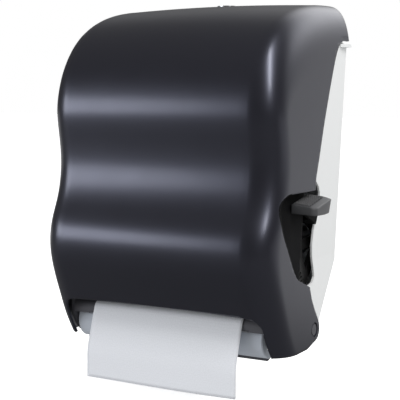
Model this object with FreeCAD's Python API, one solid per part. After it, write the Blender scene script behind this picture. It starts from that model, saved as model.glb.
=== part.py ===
"""Lever paper towel dispenser: a wall-mounted cabinet that feeds a roll towel by a side lever.

Millimetres, +Z up. X runs to the right as the user faces the cabinet, -Y points at the user and
the wall is the plane Y = 0. Inside this script every height is measured from the line that the
cover's feet stand on, and save() moves each piece so that the origin lies on the wall, at the
middle of the four wall screws.
"""
import FreeCAD, Part
import math
import os

from FreeCAD import Vector

# Cabinet: half width at the wall, height, and the side walls' inward lean toward the front
HALF_WIDTH = 160.0
HEIGHT = 419.0
SIDE_DRAFT = 0.02
WALL = 3.0
CORNER_RADIUS = 36.0
CORNER_STRIPS = 10
LINING_STRIPS = 6
FLAT_STATIONS = (88.0, 16.0)
WALL_EASE = 40.0
CROWN_START = 270.0
SHOULDER_DROP = 72.0
SHOULDER_POWER = 1.35
CROWN_DROP = 3.0

# Depth of the cover's waved front at each height, from the feet up and over the top
FRONT_WAVE = ((0, 187), (25, 202), (53, 214.5), (90, 229), (124, 235), (150, 230), (172, 220),
              (195, 212.5), (221, 209.5), (250, 212), (281, 216), (310, 213), (335, 205),
              (356, 193), (374, 177), (391, 152), (404, 120), (413, 80), (417.5, 40), (HEIGHT, 0))

# Side edge of the cover in (y, z): a curve down from the hooked top, then straight runs to the ear
REAR_CURVE = ((8, 371.2), (0, 371), (-24, 369), (-40, 357), (-54, 332), (-68, 298), (-82, 261),
              (-92, 231), (-101.5, 205))
REAR_RUNS = ((-103, 188), (-117, 75.5), (-111, 60), (-103, 47))

# Arch over the towel outlet in (x, z): foot, side, middle of the corner and its end, then the crown
ARCH_FOOT_X = 141.5
ARCH_CORNER = ((137.0, 29.0), (131.8, 42.5), (119.0, 51.0))
ARCH_CROWN = 53.5

# The four wall screws, centred this far above the feet
SCREW_CENTRE = 240.0
SCREW_SPACING_X = 160.0
SCREW_SPACING_Z = 220.0
SCREW_HOLE = 2.75

# Chassis moulding
CHASSIS_WALL = 2.5
CHASSIS_LOW_X = 143.0
CHASSIS_HIGH_X = 155.0
LEAN_FROM = 100.0
LEDGE_TOP = 367.0
CHAMFER_TOP = 92.0
CHAMFER_FOOT = (-53.0, 18.6)
RIB_HALF = 1.0
RIB_FRONT = -8.0
RIB_COLUMNS = (-48, -16, 16, 48)
RIB_ROWS = (108, 190, 380)
SCREW_PAD = 9.0

# Cover hinge, on a line across the cabinet
HINGE_Y = -101.6
HINGE_Z = 20.0
HINGE_PIN = 4.0
HINGE_HEAD = 6.8
HINGE_BOSS = 11.0
EAR_RADIUS = 15.0
EAR_RECESS = 9.3

# Feed roller, pinch roller and the paper that runs between them
FEED_Y = -160.0
FEED_Z = 17.0
FEED_RADIUS = 23.0
FEED_LEFT = -134.0
FEED_RIGHT = 126.5
SHAFT_RADIUS = 4.0
BAND_RADIUS = 23.5
BAND_SPANS = ((-78.0, -58.0), (-10.0, 10.0), (58.0, 78.0))
BUSH_RADIUS = 7.0
BUSH_FLANGE = 9.5
PAPER_HALF = 0.4
NIP_ANGLE = 75.0
NIP_PATH_RADIUS = 24.2
PINCH_DISTANCE = 33.4
PINCH_RADIUS = 8.5
PINCH_SHAFT = 3.0
PINCH_SLOT = 3.2

# Gear train in one slice beside the roller
MODULE = 2.0
PRESSURE_ANGLE = 20.0
ADDENDUM = 0.8
DEDENDUM = 1.15
BACKLASH = 0.35
SECTOR_TEETH = 76
IDLER_TEETH = 42
PINION_TEETH = 14
GEAR_X = (128.0, 133.5)
IDLER_PIN = 3.0
IDLER_HOLES = 5
IDLER_HOLE_RADIUS = 8.5
IDLER_HOLE_CIRCLE = 24.0

# Lever: pivot, stroke and pad
LEVER_Y = -25.0
LEVER_Z = 125.0
LEVER_STROKE = 32.0
LEVER_PIN = 5.0
LEVER_PIN_END = 142.8
LEVER_HUB = 13.0
LEVER_BOSS = 9.0
ARM_ANGLE = 27.5
ARM_THICK = 3.0
TONGUE_THICK = 4.0
STOP_RADIUS = 4.0
STOP_STUD = 2.0
STOP_STUD_END = 144.4
PAD_X = (145.0, 176.5)
PAD_FRONT = -146.0
PAD_BACK = -98.0
PAD_CORNER = 8.0
GRIP_X = (147.0, 167.5)
GRIP_Y = (-142.5, -101.0)
GRIP_Z = (178.6, 184.7)
GRIP_DEPTH = 1.1
RIDGES = 18
RIDGE_PITCH = 3.2
RIDGE_WIDTH = 1.4
RIDGE_HEIGHT = 0.9
RIDGE_SLANT = 16.0
RUN_CLEARANCE = 0.05

# Side frames that carry the rollers, and the plate on the other side of the gears
FRAME_X = (136.5, 140.5)
PLATE_X = (122.0, 125.5)
LIGHTENING_HOLES = ((-131, 22, 7), (-84, 46, 5))

# Screws that hold each side frame to its wall
FRAME_SCREWS = ((-117.0, 58.0), (-119.5, 22.0))
SCREW_SHANK = 1.8
SCREW_HEAD = 3.6

# Roll, core and holder arms
ROLL_Y = -107.0
ROLL_Z = 285.0
ROLL_RADIUS = 92.0
ROLL_HALF = 104.0
CORE_OUTER = 21.5
CORE_INNER = 19.5
ARM_PIVOT_X = 113.0
ARM_PIVOT_Y = -9.5
ARM_PIN = 2.5
ARM_BARREL = 5.3
ARM_BLADE_X = (107.5, 112.0)
LUG_SPACING = 62.0
LUG_HEIGHT = 7.4
HUB_STUB = 6.0
HUB_FLANGE = 28.0
HUB_PLUG = (15.8, 17.3)
HUB_PLUG_FROM = 95.0

# Towel tail below the tear bar
NOSE_Y = -178.3
NOSE_Z = 34.6
NOSE_RADIUS = 10.5
TAIL_RADIUS = 12.0
TAIL_BEND = 60.0
NIP_TO_KNEE = 33.4
TAIL_KNEE = (-207.0, -12.0)
TAIL_END = (-209.0, -47.0)

# Serrated blade under the bar
BLADE_HALF = 112.0
BLADE_PITCH = 4.0
BLADE_Y = (-182.0, -187.6, -189.8)
BLADE_Z = (29.0, 30.2)

# Lever pocket in the cover: front edge in (y, z), then how far that edge sits forward or back at each depth
POCKET_FLOOR = 143.5
POCKET_WALL = 2.5
POCKET_TOP = 190.0
POCKET_BACK = -60.0
POCKET_LOW = 52.0
POCKET_LEDGE = (-117.0, 75.5)
POCKET_FRONT = ((-166, 190), (-182, 187), (-192, 178), (-193, 167), (-189, 153), (-178, 134),
                (-166, 113), (-157, 98), (-150, 89.5))
POCKET_SCOOP = ((143.5, 5.0), (150.0, 2.0), (155.0, -3.0), (159.0, -11.0), (175.0, -26.0))

# Tray behind and under the feed roller
TRAY_X = (-136.5, 121.0)
TRAY_OUTER = 28.5
TRAY_INNER = 26.0
TRAY_RIBS = (-120, -80, -40, 0, 40, 80, 110)

# Lock in the cover's top
LOCK_Y = -30.0
LOCK_RADIUS = 10.0
LOCK_FLANGE = 12.5
PLUG_RADIUS = 6.0
LOCK_SEAT = 416.8
NUT_RADIUS = 15.0
NUT_Z = (408.0, 412.0)
CAM_Z = (380.5, 384.0)
STRIKE_X = (11.0, 32.0)


def save(name, shape):
    """Move a piece from the foot line to the screw origin and write it."""
    moved = shape.copy()
    moved.translate(Vector(0, 0, -SCREW_CENTRE))
    moved.exportStep("parts/" + name + ".step")
    print(name, "valid" if moved.isValid() else "INVALID", len(moved.Solids), round(moved.Volume, 1))


def box(x0, x1, y0, y1, z0, z1):
    """A block between two corners."""
    return Part.makeBox(x1 - x0, y1 - y0, z1 - z0, Vector(x0, y0, z0))


def rod_x(y, z, radius, x0, x1):
    """A round bar along X."""
    return Part.makeCylinder(radius, x1 - x0, Vector(x0, y, z), Vector(1, 0, 0))


def rod_z(x, y, radius, z0, z1):
    """A round bar along Z."""
    return Part.makeCylinder(radius, z1 - z0, Vector(x, y, z0), Vector(0, 0, 1))


def plate_x(outline, x0, x1):
    """A flat plate from a closed outline of (y, z) corners, extruded along X."""
    corners = [Vector(x0, y, z) for y, z in outline]
    return Part.Face(Part.makePolygon(corners + corners[:1])).extrude(Vector(x1 - x0, 0, 0))


def plate_y(outline, y0, y1):
    """A flat plate from a closed outline of (x, z) corners, extruded along Y."""
    corners = [Vector(x, y0, z) for x, z in outline]
    return Part.Face(Part.makePolygon(corners + corners[:1])).extrude(Vector(0, y1 - y0, 0))


def mirror(shape):
    """The same piece on the other side of the cabinet."""
    return shape.mirror(Vector(0, 0, 0), Vector(1, 0, 0))


def polar(y, z, radius, degrees):
    """A (y, z) point at an angle measured from +Y toward +Z."""
    angle = math.radians(degrees)
    return (y + radius * math.cos(angle), z + radius * math.sin(angle))


def spline_edge(points):
    """A smooth edge through the points."""
    curve = Part.BSplineCurve()
    curve.interpolate(points)
    return curve.toShape()


def wave_points(inset):
    """The front wave's points in the middle plane, moved square to the curve into the cover."""
    points = [Vector(0, -depth, z) for z, depth in FRONT_WAVE]
    if inset == 0:
        return points
    curve = Part.BSplineCurve()
    curve.interpolate(points)
    moved = []
    for point in points:
        tangent = curve.tangent(curve.parameter(point))[0]
        normal = Vector(0, tangent.z, -tangent.y)
        if normal.dot(Vector(0, -1, 1)) > 0:
            normal = normal * -1
        normal.normalize()
        moved.append(point + normal * inset)
    moved[-1] = Vector(0, 0, moved[-1].z)
    foot = moved[0]
    below = foot + (foot - moved[1])
    return [below] + moved


def cover_section(inset, turn=None, flat_x=0.0):
    """One side-view section of the cover, in the flat front or at a turn round its corner."""
    half = HALF_WIDTH - inset
    radius = CORNER_RADIUS - inset
    if turn is None:
        x = flat_x
        back_set = 0.0
        drop = CROWN_DROP * (x / (half - radius)) ** 2
    else:
        x = half - radius + radius * math.sin(turn)
        back_set = radius * (1 - math.cos(turn))
        drop = CROWN_DROP + SHOULDER_DROP * (1 - math.cos(turn)) ** SHOULDER_POWER
    squeeze = (HEIGHT - drop - CROWN_START) / (HEIGHT - CROWN_START)
    points = []
    for point in wave_points(inset):
        z = point.z
        if z > CROWN_START:
            z = CROWN_START + (z - CROWN_START) * squeeze
        near_wall = min(1.0, -point.y / WALL_EASE)
        y = min(0.0, point.y + back_set * near_wall)
        points.append(Vector(x * (1 + SIDE_DRAFT * y / HALF_WIDTH), y, z))
    low = Vector(x, 0, points[0].z)
    return Part.Wire([spline_edge(points),
                      Part.makeLine(points[-1], low),
                      Part.makeLine(low, points[0])])


def cover_form(inset, steps):
    """The cover's solid form: one loft from side to side, with this many strips round each corner."""
    turns = [math.radians(90 - 90 * step / steps) for step in range(steps + 1)]
    half = [cover_section(inset, turn=turn) for turn in turns]
    half += [cover_section(inset, flat_x=x) for x in FLAT_STATIONS]
    other = [mirror(wire) for wire in reversed(half)]
    return Part.makeLoft(half + other, True, True)


def pocket_wire(x, front_shift, grow):
    """The lever pocket's outline at one depth: a flat ceiling, a curved front and a bottom ledge."""
    last = len(POCKET_FRONT) - 1
    curve = []
    for index, (y, z) in enumerate(POCKET_FRONT):
        share = math.sin(math.pi * (index + 0.5) / len(POCKET_FRONT))
        before = POCKET_FRONT[max(index - 1, 0)]
        after = POCKET_FRONT[min(index + 1, last)]
        dy = after[0] - before[0]
        dz = after[1] - before[1]
        length = math.hypot(dy, dz)
        curve.append(Vector(x, y + front_shift * share + grow * dz / length, z - grow * dy / length))
    top = Vector(x, POCKET_BACK, POCKET_TOP + grow)
    ledge = Vector(x, POCKET_LEDGE[0], POCKET_LEDGE[1] - grow)
    low = Vector(x, POCKET_BACK, POCKET_LOW - grow)
    return Part.Wire([Part.makeLine(top, curve[0]), spline_edge(curve), Part.makeLine(curve[-1], ledge),
                      Part.makeLine(ledge, low), Part.makeLine(low, top)])


def lever_pocket(grow):
    """The scoop in the cover's right side that the lever works in, grown by a wall thickness."""
    wires = []
    for x, shift in POCKET_SCOOP:
        depth = grow if x == POCKET_FLOOR else 0.0
        wires.append(pocket_wire(x - depth, shift, grow))
    return Part.makeLoft(wires, True, True)


def behind_cover():
    """All that lies behind the cover's side edges, as one block across the cabinet."""
    side_x = -200
    curve = [Vector(side_x, y, z) for y, z in REAR_CURVE]
    runs = [curve[-1]] + [Vector(side_x, y, z) for y, z in REAR_RUNS]
    ear = [Vector(side_x, *polar(HINGE_Y, HINGE_Z, EAR_RADIUS, angle)) for angle in (40, -10, -60)]
    runs += [ear[0]]
    around = [ear[-1]] + [Vector(side_x, y, z) for y, z in ((-124, 0), (-124, -60), (8, -60))] + [curve[0]]
    edges = [spline_edge(curve)]
    edges += [Part.makeLine(a, b) for a, b in zip(runs, runs[1:])]
    edges.append(Part.Arc(*ear).toShape())
    edges += [Part.makeLine(a, b) for a, b in zip(around, around[1:])]
    return Part.Face(Part.Wire(edges)).extrude(Vector(-2 * side_x, 0, 0))


def arch_opening():
    """The arched opening over the towel outlet, cut through the front only."""
    right = [Vector(x, 0, z) for x, z in ARCH_CORNER]
    left = [Vector(-p.x, 0, p.z) for p in reversed(right)]
    crown = [right[-1], Vector(0, 0, ARCH_CROWN), left[0]]
    foot_right = Vector(ARCH_FOOT_X, 0, -60)
    foot_left = Vector(-ARCH_FOOT_X, 0, -60)
    outline = Part.Wire([Part.makeLine(foot_right, right[0]), Part.Arc(*right).toShape(),
                         Part.Arc(*crown).toShape(), Part.Arc(*left).toShape(),
                         Part.makeLine(left[-1], foot_left), Part.makeLine(foot_left, foot_right)])
    opening = Part.Face(outline).extrude(Vector(0, -130, 0))
    opening.translate(Vector(0, -130, 0))
    return opening


def build_cover():
    """The waved shell with its diagonal side edges, arch, lever pocket, ears and lock hole."""
    form = cover_form(0.0, CORNER_STRIPS)
    lining = cover_form(WALL, LINING_STRIPS).cut(lever_pocket(POCKET_WALL))
    shell = form.cut(lever_pocket(0.0)).cut(lining)
    shell = shell.cut(behind_cover()).cut(arch_opening())
    shell = shell.cut(box(-200, 200, -260, 10, -60, 0))
    boss = rod_x(HINGE_Y, HINGE_Z, EAR_RADIUS - 2.5, 154, 158)
    bore = rod_x(HINGE_Y, HINGE_Z, HINGE_PIN + RUN_CLEARANCE, 140, 165)
    recess = rod_x(HINGE_Y, HINGE_Z, EAR_RECESS, 156.2, 165)
    shell = shell.fuse([boss.common(form), mirror(boss).common(form)])
    shell = shell.cut([bore, recess, mirror(bore), mirror(recess)])
    lock_hole = rod_z(0, LOCK_Y, LOCK_RADIUS, HEIGHT - 12, HEIGHT + 5)
    flange_seat = rod_z(0, LOCK_Y, LOCK_FLANGE + 0.1, LOCK_SEAT, HEIGHT + 5)
    return shell.cut(lock_hole).cut(flange_seat)


def side_wall_outline(notched):
    """The chassis wall from the side: it follows the cover's edge, with a notch for the lever."""
    upper = ((0, CHAMFER_TOP), (0, LEDGE_TOP), (-28, LEDGE_TOP), (-46, 358), (-60, 333), (-74, 299),
             (-88, 262), (-98, 232), (-105, 212))
    notch = ((-93, 204), (-76, 198.5), (-67, 191.5), (-62.5, 184), (-62, 172), (-66, 159), (-72, 149),
             (-76.5, 137), (-78.5, 120), (-76.5, 105), (-71.5, 91), (-68.5, 79), (-74, 72.5), (-86, 70))
    plain = ((-112, 190), (-118, 130), (-122, 90))
    lower = ((-122, 67), (-126, 40), (-124, 14), (-112, 7.5), (-78, 7.5), CHAMFER_FOOT)
    return upper + (notch if notched else plain) + lower


def build_back_plate():
    """The white back: a panel between the side walls, a sloping foot, ribs, screw pads and lugs."""
    inner_low = CHASSIS_LOW_X - CHASSIS_WALL
    inner_high = CHASSIS_HIGH_X - CHASSIS_WALL
    half_panel = ((inner_low, CHAMFER_TOP), (inner_low, LEAN_FROM), (inner_high, LEDGE_TOP), (149, 370),
                  (146, 386), (136, 399), (118, 405))
    panel = plate_y(half_panel + tuple((-x, z) for x, z in reversed(half_panel)), -CHASSIS_WALL, 0)
    foot_y, foot_z = CHAMFER_FOOT
    slope = plate_x(((0, CHAMFER_TOP), (-CHASSIS_WALL, CHAMFER_TOP + 4), (foot_y - 3, foot_z + 0.8),
                     (foot_y, foot_z)), -inner_low, inner_low)
    plate = panel.fuse(slope)
    ribs = [box(x - RIB_HALF, x + RIB_HALF, RIB_FRONT, -1, 104, 398) for x in RIB_COLUMNS]
    ribs += [box(-128, 128, RIB_FRONT, -1, z - RIB_HALF, z + RIB_HALF) for z in RIB_ROWS]
    plate = plate.fuse(ribs)
    for x in (-SCREW_SPACING_X / 2, SCREW_SPACING_X / 2):
        for z in (SCREW_CENTRE - SCREW_SPACING_Z / 2, SCREW_CENTRE + SCREW_SPACING_Z / 2):
            pad = Part.makeCylinder(SCREW_PAD, -RIB_FRONT, Vector(x, RIB_FRONT, z), Vector(0, 1, 0))
            hole = Part.makeCylinder(SCREW_HOLE, 12, Vector(x, -10, z), Vector(0, 1, 0))
            plate = plate.fuse(pad).cut(hole)
    lugs = []
    for z in (ROLL_Z - LUG_SPACING / 2, ROLL_Z + LUG_SPACING / 2):
        lug = box(ARM_PIVOT_X - 6, ARM_PIVOT_X + 6, -15.5, -1, z - LUG_HEIGHT / 2, z + LUG_HEIGHT / 2)
        lugs += [lug, mirror(lug)]
    plate = plate.fuse(lugs)
    arm_bore = rod_z(ARM_PIVOT_X, ARM_PIVOT_Y, ARM_PIN, ROLL_Z - 40, ROLL_Z + 40)
    strike_seat = box(STRIKE_X[0] - 0.5, STRIKE_X[1] + 0.5, -9, -CHASSIS_WALL, 373, 392)
    for tool in (arm_bore, mirror(arm_bore), strike_seat):
        plate = plate.cut(tool)
    return plate


def build_side_wall(side):
    """A white side wall that leans out toward its top ledge and carries the cover's hinge pin."""
    low = CHASSIS_LOW_X
    high = CHASSIS_HIGH_X
    lean = ((low, -20), (low, LEAN_FROM), (high, LEDGE_TOP), (high - CHASSIS_WALL, LEDGE_TOP),
            (low - CHASSIS_WALL, LEAN_FROM), (low - CHASSIS_WALL, -20))
    wall = plate_y(lean, -200, 0).common(plate_x(side_wall_outline(side > 0), 120, 170))
    inner = high - CHASSIS_WALL
    rim = [Vector(x, y, LEDGE_TOP - 4)
           for x, y in ((149, -CHASSIS_WALL), (inner, -CHASSIS_WALL), (inner, 0), (161.5, 0), (161.5, -6),
                        (157, -24), (149, -24))]
    ledge = Part.Face(Part.makePolygon(rim + rim[:1])).extrude(Vector(0, 0, 4))
    hinge_boss = rod_x(HINGE_Y, HINGE_Z, HINGE_BOSS, low - CHASSIS_WALL, 153.6)
    wall = wall.fuse([ledge, hinge_boss])
    for tool in [rod_x(HINGE_Y, HINGE_Z, HINGE_PIN, 130, 160)] + screw_shanks():
        wall = wall.cut(tool)
    if side < 0:
        return mirror(wall)
    wall = wall.fuse(rod_x(LEVER_Y, LEVER_Z, LEVER_BOSS, GEAR_X[1] + 0.6, 142.5))
    wall = wall.cut(rod_x(LEVER_Y, LEVER_Z, LEVER_PIN, 120, LEVER_PIN_END))
    return wall.cut(rod_x(*bumper_centre(), STOP_STUD, 130, STOP_STUD_END))


def build_hinge_pins():
    """Two headed pins that the cover swings on, seen in the recess of each ear."""
    shank = rod_x(HINGE_Y, HINGE_Z, HINGE_PIN, 140.5, 157.5)
    head = rod_x(HINGE_Y, HINGE_Z, HINGE_HEAD, 156.5, 157.6)
    pin = shank.fuse(head)
    return Part.makeCompound([pin, mirror(pin)])


def frame_outline():
    """Side view of a roller frame."""
    return ((-72, 12), (-72, 60), (-92, 68), (-140, 68), (-172, 60), (-188, 47), (-188, 27),
            (-180, 12), (-171, 3), (-157, -4), (-140, -4), (-96, 5))


def pinch_slot(x0, x1):
    """The open slot in which one end of the pinch shaft sits."""
    y, z = pinch_centre()
    return box(x0, x1, y - PINCH_SLOT, y + PINCH_SLOT, z - PINCH_SLOT, z + 8)


def build_frame(side):
    """A dark side frame with lightening holes and bearing seats for the rollers."""
    frame = plate_x(frame_outline(), *FRAME_X)
    frame = frame.cut(rod_x(FEED_Y, FEED_Z, BUSH_RADIUS, 130, 145))
    frame = frame.cut(rod_x(HINGE_Y, HINGE_Z, HINGE_PIN + 3, 130, 145))
    if side > 0:
        frame = frame.cut(rod_x(*idler_centre(), IDLER_PIN, 130, 145))
    else:
        frame = frame.cut(pinch_slot(130, 145))
    for y, z, radius in LIGHTENING_HOLES:
        frame = frame.cut(rod_x(y, z, radius, 130, 145))
    for shank in screw_shanks():
        frame = frame.cut(shank)
    return frame if side > 0 else mirror(frame)


def idler_centre():
    """Where the idler meets both the sector and the pinion at their pitch circles."""
    reach_a = MODULE * (SECTOR_TEETH + IDLER_TEETH) / 2
    reach_b = MODULE * (IDLER_TEETH + PINION_TEETH) / 2
    dy = FEED_Y - LEVER_Y
    dz = FEED_Z - LEVER_Z
    span = math.hypot(dy, dz)
    along = (reach_a ** 2 - reach_b ** 2 + span ** 2) / (2 * span)
    off = math.sqrt(max(0.0, reach_a ** 2 - along ** 2))
    return (LEVER_Y + along * dy / span - off * dz / span, LEVER_Z + along * dz / span + off * dy / span)


def pinch_centre():
    """The pinch roller's axis above the feed roller."""
    return polar(FEED_Y, FEED_Z, PINCH_DISTANCE, NIP_ANGLE)


def involute(angle):
    """The involute function of a pressure angle in radians."""
    return math.tan(angle) - angle


def tooth_points(teeth, centre, y, z):
    """One gear tooth as (y, z) points, from its left root over the tip to its right root."""
    pitch = MODULE * teeth / 2
    base = pitch * math.cos(math.radians(PRESSURE_ANGLE))
    tip = pitch + ADDENDUM * MODULE
    root = pitch - DEDENDUM * MODULE
    half = math.pi / (2 * teeth) - BACKLASH / (4 * pitch)
    start = half + involute(math.radians(PRESSURE_ANGLE))
    low = max(base, root)
    flank = []
    for step in range(3):
        radius = low + (tip - low) * step / 2
        flank.append((radius, start - involute(math.acos(min(1.0, base / radius)))))
    if root < base:
        flank.insert(0, (root, start))
    left = [(radius, centre + math.degrees(angle)) for radius, angle in flank]
    right = [(radius, centre - math.degrees(angle)) for radius, angle in reversed(flank)]
    return [polar(y, z, radius, angle) for radius, angle in left + right]


def gear_plate_outline(teeth, first, count, y, z):
    """Outline of a run of teeth, taken clockwise from the first tooth's angle."""
    outline = []
    for index in range(count):
        outline += tooth_points(teeth, first - index * 360.0 / teeth, y, z)
    return outline


def mesh_angles():
    """Tooth angles at rest: a sector tooth on the centre line, then the idler and the pinion."""
    idler_y, idler_z = idler_centre()
    to_idler = math.degrees(math.atan2(idler_z - LEVER_Z, idler_y - LEVER_Y))
    idler_gap = to_idler + 180.0
    idler_tooth = idler_gap + 180.0 / IDLER_TEETH
    to_pinion = math.degrees(math.atan2(FEED_Z - idler_z, FEED_Y - idler_y))
    pitch = 360.0 / IDLER_TEETH
    offset = (idler_tooth - to_pinion) % pitch
    pinion_gap = to_pinion + 180.0 - offset * IDLER_TEETH / PINION_TEETH
    pinion_tooth = pinion_gap + 180.0 / PINION_TEETH
    return to_idler, idler_tooth, pinion_tooth


def build_sector():
    """The lever's toothed sector with its hub, web window and the root of the arm."""
    pitch = 360.0 / SECTOR_TEETH
    count = int(math.ceil(LEVER_STROKE / pitch)) + 4
    first = mesh_angles()[0] + pitch
    last = first - (count - 1) * pitch
    teeth = gear_plate_outline(SECTOR_TEETH, first, count, LEVER_Y, LEVER_Z)
    root = [polar(LEVER_Y, LEVER_Z, 8, last - 30), polar(LEVER_Y, LEVER_Z, 8, first + 60)]
    sector = plate_x(teeth + root, *GEAR_X)
    window = [polar(LEVER_Y, LEVER_Z, radius, first - turn * pitch)
              for radius, turn in ((30, 4), (62, 2), (62, count - 3), (30, count - 5))]
    sector = sector.cut(plate_x(window, GEAR_X[0] - 1, GEAR_X[1] + 1))
    sector = sector.fuse(rod_x(LEVER_Y, LEVER_Z, LEVER_HUB, GEAR_X[0] - 4, GEAR_X[1]))
    return sector.cut(rod_x(LEVER_Y, LEVER_Z, LEVER_PIN + RUN_CLEARANCE, 100, 150))


def arm_point(radius, offset):
    """A point along the lever's arm, offset square to it (positive is up)."""
    angle = math.radians(ARM_ANGLE)
    return (LEVER_Y - radius * math.cos(angle) + offset * math.sin(angle),
            LEVER_Z + radius * math.sin(angle) + offset * math.cos(angle))


def bumper_centre():
    """The rubber stop that the arm rests under."""
    return arm_point(42, 10.9)


def build_lever_arm():
    """The arm beside the sector, its step out through the slot and the tongue under the pad."""
    step_from = 57
    step_to = 71
    tongue_x = (PAD_X[0] - 0.5, PAD_X[0] - 0.5 + TONGUE_THICK)
    inner = plate_x([arm_point(LEVER_HUB + 0.5, -7), arm_point(step_to, -6), arm_point(step_to, 6),
                     arm_point(LEVER_HUB + 0.5, 7)], GEAR_X[1], GEAR_X[1] + ARM_THICK)
    step = plate_x([arm_point(step_from, -6), arm_point(step_to, -6), arm_point(step_to, 6),
                    arm_point(step_from, 6)], GEAR_X[0], tongue_x[1])
    tongue = plate_x([arm_point(step_from, -6), arm_point(90, -7), arm_point(116, -5.5), arm_point(116, -1),
                      arm_point(88, 3), arm_point(step_to, 6), arm_point(step_from, 6)], *tongue_x)
    return inner.fuse([step, tongue]).removeSplitter()


def pad_outline():
    """Side view of the thumb pad: it rises and thickens toward the back."""
    return ((PAD_FRONT, 166.0), (PAD_FRONT, 176.5), (PAD_FRONT + 1.5, 178.2), (PAD_BACK, 185.6),
            (PAD_BACK + 0.5, 169.5), (-118, 165.0))


def build_lever_pad():
    """The paddle pressed by the hand, with a rounded outer front corner and a tray for its grip."""
    pad = plate_x(pad_outline(), *PAD_X)
    outer_x = PAD_X[1]
    corner = box(outer_x - PAD_CORNER, outer_x + 1, PAD_FRONT - 1, PAD_FRONT + PAD_CORNER, 150, 210)
    corner = corner.cut(rod_z(outer_x - PAD_CORNER, PAD_FRONT + PAD_CORNER, PAD_CORNER, 150, 210))
    tray = plate_x(((GRIP_Y[0], GRIP_Z[0] - GRIP_DEPTH), (GRIP_Y[0], 190), (GRIP_Y[1], 190),
                    (GRIP_Y[1], GRIP_Z[1] - GRIP_DEPTH)), *GRIP_X)
    return pad.cut(corner).cut(tray).cut(build_lever_arm())


def build_pad_grip():
    """A grip pad with slanting ridges let into the top of the lever pad."""
    x0, x1 = GRIP_X
    y0, y1 = GRIP_Y
    front, back = GRIP_Z
    base = plate_x(((y0, front - GRIP_DEPTH), (y0, front), (y1, back), (y1, back - GRIP_DEPTH)), x0, x1)
    band = plate_x(((y0, front - 0.6), (y0, front + RIDGE_HEIGHT), (y1, back + RIDGE_HEIGHT),
                    (y1, back - 0.6)), x0, x1)
    ridges = []
    for index in range(RIDGES):
        start = x0 - RIDGE_SLANT + index * RIDGE_PITCH
        plan = [Vector(start, y0, 160), Vector(start + RIDGE_WIDTH, y0, 160),
                Vector(start + RIDGE_WIDTH + RIDGE_SLANT, y1, 160), Vector(start + RIDGE_SLANT, y1, 160)]
        strip = Part.Face(Part.makePolygon(plan + plan[:1])).extrude(Vector(0, 0, 40))
        ridge = strip.common(band)
        if ridge.Volume > 1.0:
            ridges.append(ridge)
    return base.fuse(ridges)


def build_idler():
    """The idler gear that reverses the drive, with a webbed face and five holes."""
    y, z = idler_centre()
    outline = gear_plate_outline(IDLER_TEETH, mesh_angles()[1], IDLER_TEETH, y, z)
    gear = plate_x(outline, *GEAR_X)
    for index in range(IDLER_HOLES):
        centre = polar(y, z, IDLER_HOLE_CIRCLE, 360 / IDLER_HOLES * index)
        gear = gear.cut(rod_x(*centre, IDLER_HOLE_RADIUS, 120, 140))
    gear = gear.fuse(rod_x(y, z, IDLER_PIN + 5, GEAR_X[0] - 1.5, GEAR_X[1] + 1.5))
    return gear.cut(rod_x(y, z, IDLER_PIN + RUN_CLEARANCE, 120, 140))


def build_pinion():
    """The pinion and its one-way clutch hub on the feed shaft."""
    outline = gear_plate_outline(PINION_TEETH, mesh_angles()[2], PINION_TEETH, FEED_Y, FEED_Z)
    pinion = plate_x(outline, *GEAR_X).fuse(rod_x(FEED_Y, FEED_Z, 9.5, FEED_RIGHT, GEAR_X[0]))
    return pinion.cut(rod_x(FEED_Y, FEED_Z, SHAFT_RADIUS, 120, 140))


def ribbon(points, radii, half, x0, x1):
    """A bent sheet: straight runs joined by arcs, offset to both sides and extruded along X."""
    sides = {1: [], -1: []}
    ends = {1: [], -1: []}
    starts = []
    for index in range(1, len(points) - 1):
        before = Vector(0, *points[index]) - Vector(0, *points[index - 1])
        after = Vector(0, *points[index + 1]) - Vector(0, *points[index])
        before.normalize()
        after.normalize()
        turn = math.acos(max(-1.0, min(1.0, before.dot(after))))
        left = 1.0 if before.cross(after).x > 0 else -1.0
        length = radii[index - 1] * math.tan(turn / 2)
        corner = Vector(0, *points[index])
        start = corner - before * length
        centre = start + Vector(0, -before.z, before.y) * (left * radii[index - 1])
        stop = corner + after * length
        middle = centre + (corner - centre) * (radii[index - 1] / (corner - centre).Length)
        starts.append((start, middle, stop, centre, before, after))
    for side in (1, -1):
        first_dir = starts[0][4]
        last_dir = starts[-1][5]
        cursor = Vector(0, *points[0]) + Vector(0, -first_dir.z, first_dir.y) * (side * half)
        for start, middle, stop, centre, before, after in starts:
            offset = [start + Vector(0, -before.z, before.y) * (side * half),
                      middle, stop + Vector(0, -after.z, after.y) * (side * half)]
            reach = (offset[0] - centre).Length
            offset[1] = centre + (middle - centre) * (reach / (middle - centre).Length)
            sides[side].append(Part.makeLine(cursor, offset[0]))
            sides[side].append(Part.Arc(*offset).toShape())
            cursor = offset[2]
        last = Vector(0, *points[-1]) + Vector(0, -last_dir.z, last_dir.y) * (side * half)
        sides[side].append(Part.makeLine(cursor, last))
        ends[side] = [sides[side][0].Vertexes[0].Point, last]
    caps = [Part.makeLine(ends[1][0], ends[-1][0]), Part.makeLine(ends[1][1], ends[-1][1])]
    wire = Part.Wire(Part.__sortEdges__(sides[1] + sides[-1] + caps))
    sheet = Part.Face(wire).extrude(Vector(x1 - x0, 0, 0))
    sheet.translate(Vector(x0, 0, 0))
    return sheet


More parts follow.
